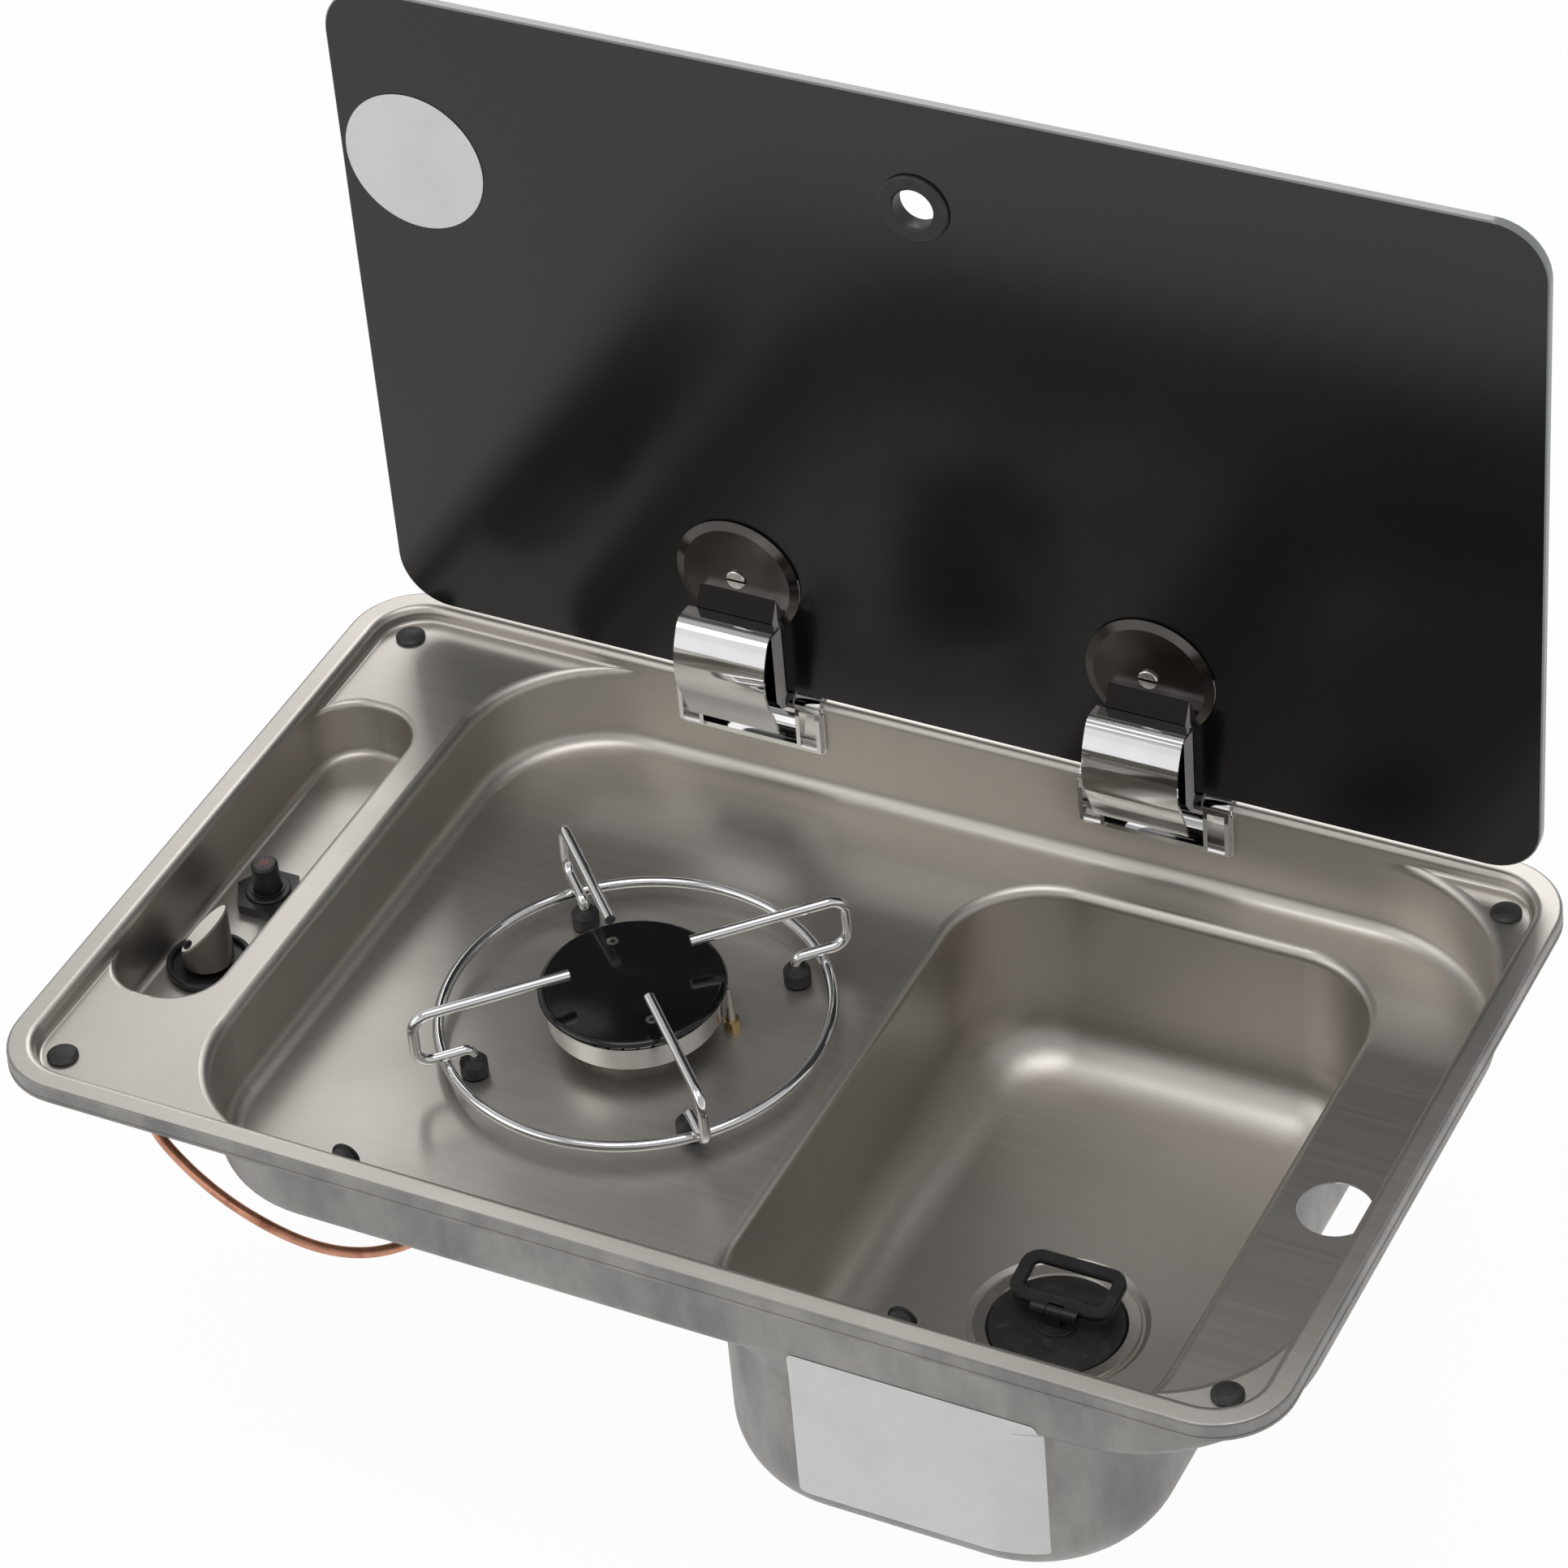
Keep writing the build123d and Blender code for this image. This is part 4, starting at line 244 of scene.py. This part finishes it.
# Hinge covers and bases: die castings in bright chrome. The plating is mirror smooth over a casting
# that is not quite flat, so reflections swim a little.
CHROME = (0.80, 0.80, 0.80, 1)
CHROME_DULL = (0.62, 0.615, 0.61, 1)
chrome = Finish("chrome")
swim = chrome.speckle(38.0, 1.0)
chrome.surface(
    base_color=chrome.mix(chrome.ramp(swim, 0.35, 0.75, 0.0, 0.3), CHROME, CHROME_DULL),
    metallic=1.0,
    roughness=chrome.ramp(chrome.speckle(60.0, 1.0), 0.35, 0.75, 0.045, 0.075),
    normal=chrome.bump(swim, 0.0002, 0.4),
)
chrome.dress("hinge_cover", "hinge_base", "hinge_cap")

# Hinge arms: the round clamp disc and its neck, plated almost black and polished to a soft mirror.
# The plating is thin, so the neck's two side faces show the pale metal, and its front is painted near black
# as the hinge cover's painted shadow.
ARM = (0.085, 0.078, 0.072, 1)
ARM_WORN = (0.13, 0.122, 0.114, 1)
ARM_SIDE = (0.62, 0.61, 0.60, 1)
ARM_NECK_PAINTED_SHADOW = (0.022, 0.020, 0.018, 1)
NECK_OUT = 0.00125
ARM_SIDE_FACING = 0.97
SIDE_BARE = 0.7
SIDE_DULL = 0.4
dark_chrome = Finish("dark_chrome")
arm_side = abs(dark_chrome.along(dark_chrome.facing(), "X")) > ARM_SIDE_FACING
# The neck's front is painted near black: painted shadow of the hinge cover.
shaded_neck = dark_chrome.along(dark_chrome.place(), "Y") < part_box("hinge_screw")[0].y + NECK_OUT
arm_wear = dark_chrome.ramp(dark_chrome.speckle(42.0, 2.0), 0.4, 0.8)
arm_front = dark_chrome.mix(shaded_neck, dark_chrome.mix(arm_wear, ARM, ARM_WORN), ARM_NECK_PAINTED_SHADOW)
dark_chrome.surface(
    base_color=dark_chrome.mix(arm_side, arm_front, ARM_SIDE),
    metallic=1.0 - SIDE_BARE * arm_side,
    roughness=dark_chrome.ramp(dark_chrome.speckle(60.0, 1.0), 0.3, 0.7, 0.12, 0.18) + SIDE_DULL * arm_side,
)
dark_chrome.dress("hinge_arm")

# Screws, pins and spindle: plain steel turned on a lathe and plated with nickel, bright with a fine
# The slots of the hinge screws and the crosses of the burner screws are painted near black as painted
# shade.
TURNED = (0.70, 0.685, 0.66, 1)
TURNED_DARK = (0.46, 0.45, 0.43, 1)
SLOT_PAINTED_SHADE = (0.02, 0.019, 0.018, 1)
SLOT_HALF = 0.00062
SLOT_SUNK = 0.0002
CROSS_DEPTH = 0.0014
turned = Finish("steel")
turned_place = turned.place()
turned_y, turned_z = turned.along(turned_place, "Y"), turned.along(turned_place, "Z")
screw_low, screw_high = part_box("hinge_screw")
cross_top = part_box("burner_screw")[1].z
in_head = (turned_y > screw_low.y + SLOT_SUNK) * (turned_y < screw_low.y + CROSS_DEPTH)
in_slot = (abs(turned_z - (screw_low.z + screw_high.z) / 2) < SLOT_HALF) * in_head
in_cross = (turned_z < cross_top - SLOT_SUNK) * (turned_z > cross_top - CROSS_DEPTH)
turned_metal = turned.mix(turned.ramp(turned.speckle(700.0, 3.0), 0.45, 0.75), TURNED, TURNED_DARK)
turned.surface(
    # Slots and crosses are painted near black: painted shade in the recesses.
    base_color=turned.mix(in_slot + in_cross, turned_metal, SLOT_PAINTED_SHADE),
    metallic=1.0,
    roughness=turned.ramp(turned.speckle(500.0, 2.0), 0.3, 0.7, 0.16, 0.28),
)
turned.dress("hinge_screw", "hinge_pin", "burner_screw", "tap_spindle", "plug_pin", "waste_screw")

# Burner cap: pressed steel under black vitreous enamel, fired to a deep gloss.
# The enamel has a faint orange peel, and a thin haze where flames have licked it.
ENAMEL = (0.004, 0.004, 0.0045, 1)
ENAMEL_HAZE = (0.011, 0.0105, 0.010, 1)
enamel = Finish("enamel")
peel = enamel.speckle(330.0, 2.0)
enamel.surface(
    base_color=enamel.mix(enamel.ramp(enamel.speckle(60.0, 4.0), 0.5, 0.85), ENAMEL, ENAMEL_HAZE),
    roughness=enamel.ramp(enamel.speckle(45.0, 3.0), 0.3, 0.75, 0.10, 0.16),
    normal=enamel.bump(peel, 0.00003, 0.3),
)
enamel.dress("burner_cap")

# Burner head and injector holder: cast aluminium, turned and polished bright on its outer ring.
# The tool leaves hairlines round it that spread the gloss, and heat tints the metal a little.
ALUMINIUM = (0.88, 0.875, 0.865, 1)
ALUMINIUM_WARM = (0.74, 0.73, 0.71, 1)
aluminium = Finish("aluminium")
tooling = aluminium.speckle(1.0, 2.0, (30, 30, 1600))
heat = aluminium.ramp(aluminium.speckle(90.0, 3.0), 0.4, 0.8)
aluminium.surface(
    base_color=aluminium.mix(heat, ALUMINIUM, ALUMINIUM_WARM),
    metallic=1.0,
    roughness=aluminium.ramp(tooling, 0.3, 0.7, 0.08, 0.13),
)
aluminium.dress("burner_head", "injector_holder")

# Gas jet, tap body, pipe nuts and the thermocouple's nut: machined brass, dulled by air in patches.
# The thermocouple's probe above its nut is plated with nickel.
BRASS = (0.62, 0.45, 0.20, 1)
BRASS_DULL = (0.36, 0.26, 0.13, 1)
PROBE_NICKEL = (0.66, 0.64, 0.60, 1)
PROBE_FOOT, PROBE_HEAD = -0.0374, -0.019
brass = Finish("brass")
brass_z = brass.along(brass.place(), "Z")
probe = (brass_z > PROBE_FOOT) * (brass_z < PROBE_HEAD)
brass_dulled = brass.mix(brass.ramp(brass.speckle(260.0, 3.0), 0.4, 0.75), BRASS, BRASS_DULL)
brass.surface(
    base_color=brass.mix(probe, brass_dulled, PROBE_NICKEL),
    metallic=1.0,
    roughness=brass.ramp(brass.speckle(180.0, 2.0), 0.3, 0.7, 0.2, 0.34),
)
brass.dress("thermocouple", "gas_jet", "tap_plug", "gas_tap", "pipe_nut")

# Spark electrode: a white glazed ceramic post with its bare metal wire on top.
# Soot has settled in the glaze in soft brown patches.
CERAMIC = (0.76, 0.74, 0.69, 1)
CERAMIC_SOOT = (0.30, 0.27, 0.23, 1)
SPARK_METAL_FROM = -0.0242
ceramic = Finish("ceramic")
wire = ceramic.along(ceramic.place(), "Z") > SPARK_METAL_FROM
sooted = ceramic.mix(ceramic.ramp(ceramic.speckle(320.0, 3.0), 0.55, 0.9), CERAMIC, CERAMIC_SOOT)
ceramic.surface(
    base_color=ceramic.mix(wire, sooted, TURNED_DARK),
    metallic=wire,
    roughness=ceramic.ramp(ceramic.speckle(150.0), 0.3, 0.7, 0.14, 0.24),
)
ceramic.dress("spark_electrode")

# Pan support: 5 mm wire, bent and welded to its ring, and chromed bright.
# The plating mirrors everything, with faint dull clouds where it has been wiped.
support = Finish("chromed_wire")
wiped = support.ramp(support.speckle(60.0, 2.0), 0.5, 0.85, 0.0, 0.4)
support.surface(
    base_color=support.mix(wiped, CHROME, CHROME_DULL),
    metallic=1.0,
    roughness=support.ramp(support.speckle(50.0, 1.0), 0.3, 0.75, 0.035, 0.06),
)
support.dress("pan_support")

# Gas knob: moulded and lacquered in a warm metallic grey; its sloping top face is painted pale and less
# metallic, as a painted highlight.
# A short mark is cut into the low end of that face and painted dark.
KNOB = (0.16, 0.145, 0.125, 1)
KNOB_FACE_HIGHLIGHT = (0.74, 0.72, 0.65, 1)
KNOB_MARK = (0.012, 0.012, 0.012, 1)
KNOB_METAL = 0.6
FACE_LESS_METAL = 0.5
MARK_PLACE = Vector((-0.2699, -0.0604, -0.01335))
FACE_NORMAL = Vector((-0.2653, -0.4415, 0.8572))
MARK_REACH = 0.0024
MARK_BELOW = 0.00015
ON_FACE = 0.97
knob = Finish("knob_grey")
from_mark = knob.node("VectorMath", {"operation": "SUBTRACT"}, {0: knob.place(), 1: MARK_PLACE})
marked = (knob.length(from_mark) < MARK_REACH) * (knob.dot(from_mark, FACE_NORMAL) < -MARK_BELOW)
on_face = knob.dot(knob.facing(), FACE_NORMAL) > ON_FACE
flake = knob.speckle(3200.0, 1.0)
knob.surface(
    # The face turned up towards the light is painted pale: a painted highlight on the grip's grey.
    base_color=knob.mix(marked, knob.mix(on_face, KNOB, KNOB_FACE_HIGHLIGHT), KNOB_MARK),
    metallic=KNOB_METAL - FACE_LESS_METAL * on_face,
    roughness=knob.ramp(flake, 0.3, 0.7, 0.30, 0.40),
    normal=knob.bump(flake, 0.00002, 0.3),
)
knob.dress("gas_knob")

# Bezel, igniter and plug handle: moulded black plastic, satin, with soft scuffs from handling.
PLASTIC = (0.013, 0.013, 0.013, 1)
PLASTIC_SCUFF = (0.045, 0.044, 0.043, 1)
plastic = Finish("black_plastic")
scuff = plastic.speckle(420.0, 4.0, (1, 1, 1), 0.7)
plastic.surface(
    base_color=plastic.mix(plastic.ramp(scuff, 0.52, 0.85), PLASTIC, PLASTIC_SCUFF),
    roughness=plastic.ramp(plastic.speckle(110.0, 2.0), 0.3, 0.7, 0.30, 0.44),
    normal=plastic.bump(plastic.speckle(2200.0, 2.0), 0.00003, 0.5),
)
plastic.dress("knob_bezel", "igniter_nut", "igniter_body", "plug_handle")

# Igniter button: the same black plastic, scuffed more by fingers than the parts below it.
# A small red spark of eight thin rays is printed on its round top.
SPARK_RED = (0.22, 0.032, 0.026, 1)
SPARK_POINTS = 8
SPARK_CORE = 0.0009
SPARK_RAY = 0.0028
SPARK_HOLE = 0.0006
TOP_FACING = 0.8
button = Finish("igniter_plastic")
button_low, button_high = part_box("igniter_button")
button_x = (button_low.x + button_high.x) / 2
button_y = (button_low.y + button_high.y) / 2
button_place = button.place()
from_x = button.along(button_place, "X") - button_x
from_y = button.along(button_place, "Y") - button_y
reach = button.length(button.node("CombineXYZ", {}, {0: from_x, 1: from_y}))
angle = reach.maths("ARCTAN2", from_y, from_x)
ray = abs(reach.maths("COSINE", angle * (SPARK_POINTS / 2), 0))
on_top = button.along(button.facing(), "Z") > TOP_FACING
thin_ray = ray * ray * ray
spark = (reach < SPARK_CORE + SPARK_RAY * thin_ray * thin_ray) * (reach > SPARK_HOLE) * on_top
button_scuff = button.ramp(button.speckle(700.0, 4.0), 0.5, 0.85)
button.surface(
    base_color=button.mix(spark, button.mix(button_scuff, PLASTIC, PLASTIC_SCUFF), SPARK_RED),
    roughness=button.ramp(button.speckle(160.0), 0.3, 0.7, 0.34, 0.48),
    normal=button.bump(button.speckle(2200.0, 2.0), 0.00003, 0.5),
)
button.dress("igniter_button")

# Feed pipe: soft copper tube bent by hand, from the gas tap to the burner.
# Its skin is smooth with brown tarnish in patches.
COPPER = (0.60, 0.29, 0.19, 1)
COPPER_BROWN = (0.30, 0.13, 0.08, 1)
copper = Finish("copper")
copper.surface(
    base_color=copper.mix(copper.ramp(copper.speckle(70.0, 4.0), 0.4, 0.75), COPPER, COPPER_BROWN),
    metallic=1.0,
    roughness=copper.ramp(copper.speckle(200.0, 3.0), 0.3, 0.7, 0.24, 0.42),
    normal=copper.bump(copper.speckle(900.0, 2.0), 0.00003, 0.4),
)
copper.dress("burner_pipe")

# Waste: a drawn stainless flange with its grid in the bowl, over a moulded white plastic cup.
# The flange is satin and a little smoother than the bowl; the cup has a faint moulded skin.
WASTE_WHITE = (0.66, 0.66, 0.64, 1)
WASTE_STAIN = (0.52, 0.51, 0.47, 1)
flange = Finish("waste_steel")
flange.surface(
    base_color=flange.mix(flange.ramp(flange.speckle(30.0, 2.0), 0.4, 0.8), STEEL, STEEL_SMUDGE),
    metallic=1.0,
    roughness=flange.ramp(flange.speckle(40.0, 2.0), 0.3, 0.7, 0.24, 0.3),
)
flange.dress("waste_flange")
cup = Finish("waste_plastic")
cup.surface(
    base_color=cup.mix(cup.ramp(cup.speckle(40.0, 4.0), 0.45, 0.8), WASTE_WHITE, WASTE_STAIN),
    roughness=cup.ramp(cup.speckle(200.0), 0.3, 0.7, 0.4, 0.55),
    normal=cup.bump(cup.speckle(1800.0, 2.0), 0.00004, 0.4),
)
cup.dress("waste_cup")

# Plug: a moulded rubber disc that drops into the flange, with a soft sheen.
# Water has left a little chalk on it.
PLUG = (0.016, 0.016, 0.016, 1)
PLUG_CHALK = (0.05, 0.049, 0.047, 1)
plug = Finish("plug_rubber")
plug.surface(
    base_color=plug.mix(plug.ramp(plug.speckle(210.0, 4.0), 0.5, 0.85), PLUG, PLUG_CHALK),
    roughness=plug.ramp(plug.speckle(90.0, 2.0), 0.3, 0.7, 0.36, 0.5),
    normal=plug.bump(plug.speckle(1600.0, 2.0), 0.00004, 0.5),
)
plug.dress("waste_plug")

# Stickers: two bare vinyl labels, a plate on the bowl's front wall and a round one on the glass.
# Each is cut from pale film and smoothed down onto what carries it, so the plate follows the wall.
FILM = (0.70, 0.70, 0.70, 1)
FILM_GREY = (0.64, 0.64, 0.645, 1)
FILM_THICK = 0.00015
FILM_GAP = 0.0003
PLATE_LEFT, PLATE_RIGHT = 0.082, 0.195
PLATE_TOP, PLATE_BOTTOM = -0.034, -0.1165
PLATE_CELL = 0.002
PLATE_CORNER = 0.985
RAY_START = 0.01
WALL_NODES = ("tray_pressing", "bowl_pressing")
ROUND_X, ROUND_Z, ROUND_RADIUS = -0.246, 0.265, 0.0345
ROUND_SIDES = 72
film = Finish("bare_film")
film.surface(
    base_color=film.mix(film.ramp(film.speckle(36.0, 4.0), 0.4, 0.8), FILM, FILM_GREY),
    roughness=film.ramp(film.speckle(80.0, 2.0), 0.3, 0.7, 0.32, 0.44),
    normal=film.bump(film.speckle(220.0, 2.0), 0.00003, 0.3),
)


def sticker(name, mesh, body):
    """A label of film from its flat mesh, with the film's thickness, riding on a body."""
    piece = bpy.data.objects.new(name, mesh)
    bpy.context.scene.collection.objects.link(piece)
    mesh.materials.append(film.material)
    film_body = piece.modifiers.new("film", "SOLIDIFY")
    film_body.thickness = FILM_THICK
    film_body.offset = 1
    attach(piece, body)


columns = round((PLATE_RIGHT - PLATE_LEFT) / PLATE_CELL)
rows = round((PLATE_TOP - PLATE_BOTTOM) / PLATE_CELL)
plate = bmesh.new()
bmesh.ops.create_grid(plate, x_segments=columns, y_segments=rows, size=0.5)
for corner in plate.verts:
    if len(corner.link_faces) == 1:
        corner.co *= PLATE_CORNER
    spot_x = PLATE_LEFT + (corner.co.x + 0.5) * (PLATE_RIGHT - PLATE_LEFT)
    spot_z = PLATE_BOTTOM + (corner.co.y + 0.5) * (PLATE_TOP - PLATE_BOTTOM)
    start = (spot_x, cad_low.y - RAY_START, spot_z)
    hits = [nodes[name].ray_cast(start, (0, 1, 0)) for name in WALL_NODES]
    wall, wall_facing = min(((hit[1], hit[2]) for hit in hits if hit[0]), key=lambda pair: pair[0].y)
    corner.co = wall + wall_facing * FILM_GAP
bmesh.ops.recalc_face_normals(plate, faces=plate.faces)
plate_mesh = bpy.data.meshes.new("bare_plate")
plate.to_mesh(plate_mesh)
sticker("bare_plate", plate_mesh, "tray")

glass_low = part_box("lid_glass")[0]
disc = bmesh.new()
bmesh.ops.create_circle(disc, cap_ends=True, segments=ROUND_SIDES, radius=ROUND_RADIUS)
for corner in disc.verts:
    corner.co = Vector((ROUND_X + corner.co.x, glass_low.y - FILM_GAP, ROUND_Z + corner.co.y))
disc_mesh = bpy.data.meshes.new("bare_round")
disc.to_mesh(disc_mesh)
sticker("bare_round", disc_mesh, "lid")

# Studio floor: a wide sheet of plain pale paper that the unit stands on.
# The camera and mirrors see it white, and a share of its own shading keeps the soft shadow.
PAPER = (0.86, 0.86, 0.86, 1)
PAPER_REACH = 9.0
PAPER_GAP = 0.0003
PAPER_WHITE_SHARE = 0.96
paper_mesh = bpy.data.meshes.new("paper")
sheet = bmesh.new()
bmesh.ops.create_grid(sheet, x_segments=1, y_segments=1, size=PAPER_REACH)
sheet.to_mesh(paper_mesh)
paper = bpy.data.objects.new("paper", paper_mesh)
paper.location.z = cad_low.z - PAPER_GAP
bpy.context.scene.collection.objects.link(paper)
paper_finish = Finish("paper")
paper_finish.surface(base_color=PAPER, roughness=0.9)
rays = paper_finish.node("LightPath", {}, {}, "Is Camera Ray")
glossy_rays = paper_finish.node("LightPath", {}, {}, "Is Glossy Ray")
clear_rays = paper_finish.node("LightPath", {}, {}, "Is Transmission Ray")
whitened = paper_finish.either(rays + glossy_rays, clear_rays)
white = paper_finish.node("Emission", {}, {"Color": (1, 1, 1, 1), "Strength": 1.0})
shaded = Value(paper_finish, paper_finish.shader.outputs[0])
blend = paper_finish.node("MixShader", {}, {0: whitened * PAPER_WHITE_SHARE, 1: shaded, 2: white})
paper_finish.tree.links.new(blend.socket, paper_finish.tree.nodes["Material Output"].inputs["Surface"])
paper_mesh.materials.append(paper_finish.material)

# Studio light: a pale room that darkens towards its ceiling, and three large softboxes.
# They stand over the unit, behind it to the left, and in front to the left.
ROOM_LOW = (1.0, 1.0, 1.0, 1)
ROOM_HIGH = (0.50, 0.50, 0.505, 1)
ROOM_DARKENS = (0.02, 0.55)
SOFTBOXES = {
    "top": ((0.15, -0.25, 2.0), (0, -0.05, 0), (1.5, 0.9), 11.0),
    "back": ((-0.9, 2.1, 1.9), (0, 0, 0), (1.3, 0.9), 13.0),
    "front": ((-1.7, -1.5, 1.5), (0, 0, 0.1), (2.0, 1.6), 10.0),
}
world = bpy.data.worlds.new("room")
bpy.context.scene.world = world
world.use_nodes = True
room = Finish("room", world.node_tree)
height = room.along(room.node("TexCoord", {}, {}, "Generated"), "Z")
room_colour = room.mix(room.ramp(height, *ROOM_DARKENS), ROOM_LOW, ROOM_HIGH)
room.feed(world.node_tree.nodes["Background"], {"Color": room_colour, "Strength": 1.0})
for name, (place, aim, size, power) in SOFTBOXES.items():
    lamp = bpy.data.lights.new(name, "AREA")
    lamp.shape = "RECTANGLE"
    lamp.size, lamp.size_y = size
    lamp.energy = power
    softbox = bpy.data.objects.new(name, lamp)
    softbox.location = place
    softbox.rotation_euler = (Vector(aim) - Vector(place)).to_track_quat("-Z", "Y").to_euler()
    bpy.context.scene.collection.objects.link(softbox)

# Camera: a long lens, level with a standing cook's eye, looking down on the unit from its front right.
# It is rolled a little, so that the unit's long edge falls towards the right.
CAMERA_PLACE = (0.93534, -1.65398, 1.67096)
CAMERA_AZIMUTH = math.radians(29.268)
CAMERA_ELEVATION = math.radians(39.352)
CAMERA_ROLL = math.radians(-5.202)
CAMERA_LENS = 133.39
CAMERA_SENSOR = 36.0
back = Vector(
    (
        math.sin(CAMERA_AZIMUTH) * math.cos(CAMERA_ELEVATION),
        -math.cos(CAMERA_AZIMUTH) * math.cos(CAMERA_ELEVATION),
        math.sin(CAMERA_ELEVATION),
    )
)
right = Vector((math.cos(CAMERA_AZIMUTH), math.sin(CAMERA_AZIMUTH), 0))
up = back.cross(right)
camera_x = math.cos(CAMERA_ROLL) * right + math.sin(CAMERA_ROLL) * up
camera_y = math.cos(CAMERA_ROLL) * up - math.sin(CAMERA_ROLL) * right
camera_data = bpy.data.cameras.new("camera")
camera_data.lens = CAMERA_LENS
camera_data.sensor_width = CAMERA_SENSOR
camera = bpy.data.objects.new("camera", camera_data)
camera_turn = Matrix((camera_x, camera_y, back)).transposed().to_4x4()
camera.matrix_world = Matrix.Translation(CAMERA_PLACE) @ camera_turn
bpy.context.scene.collection.objects.link(camera)
bpy.context.scene.camera = camera
bpy.context.scene.view_settings.view_transform = "Standard"
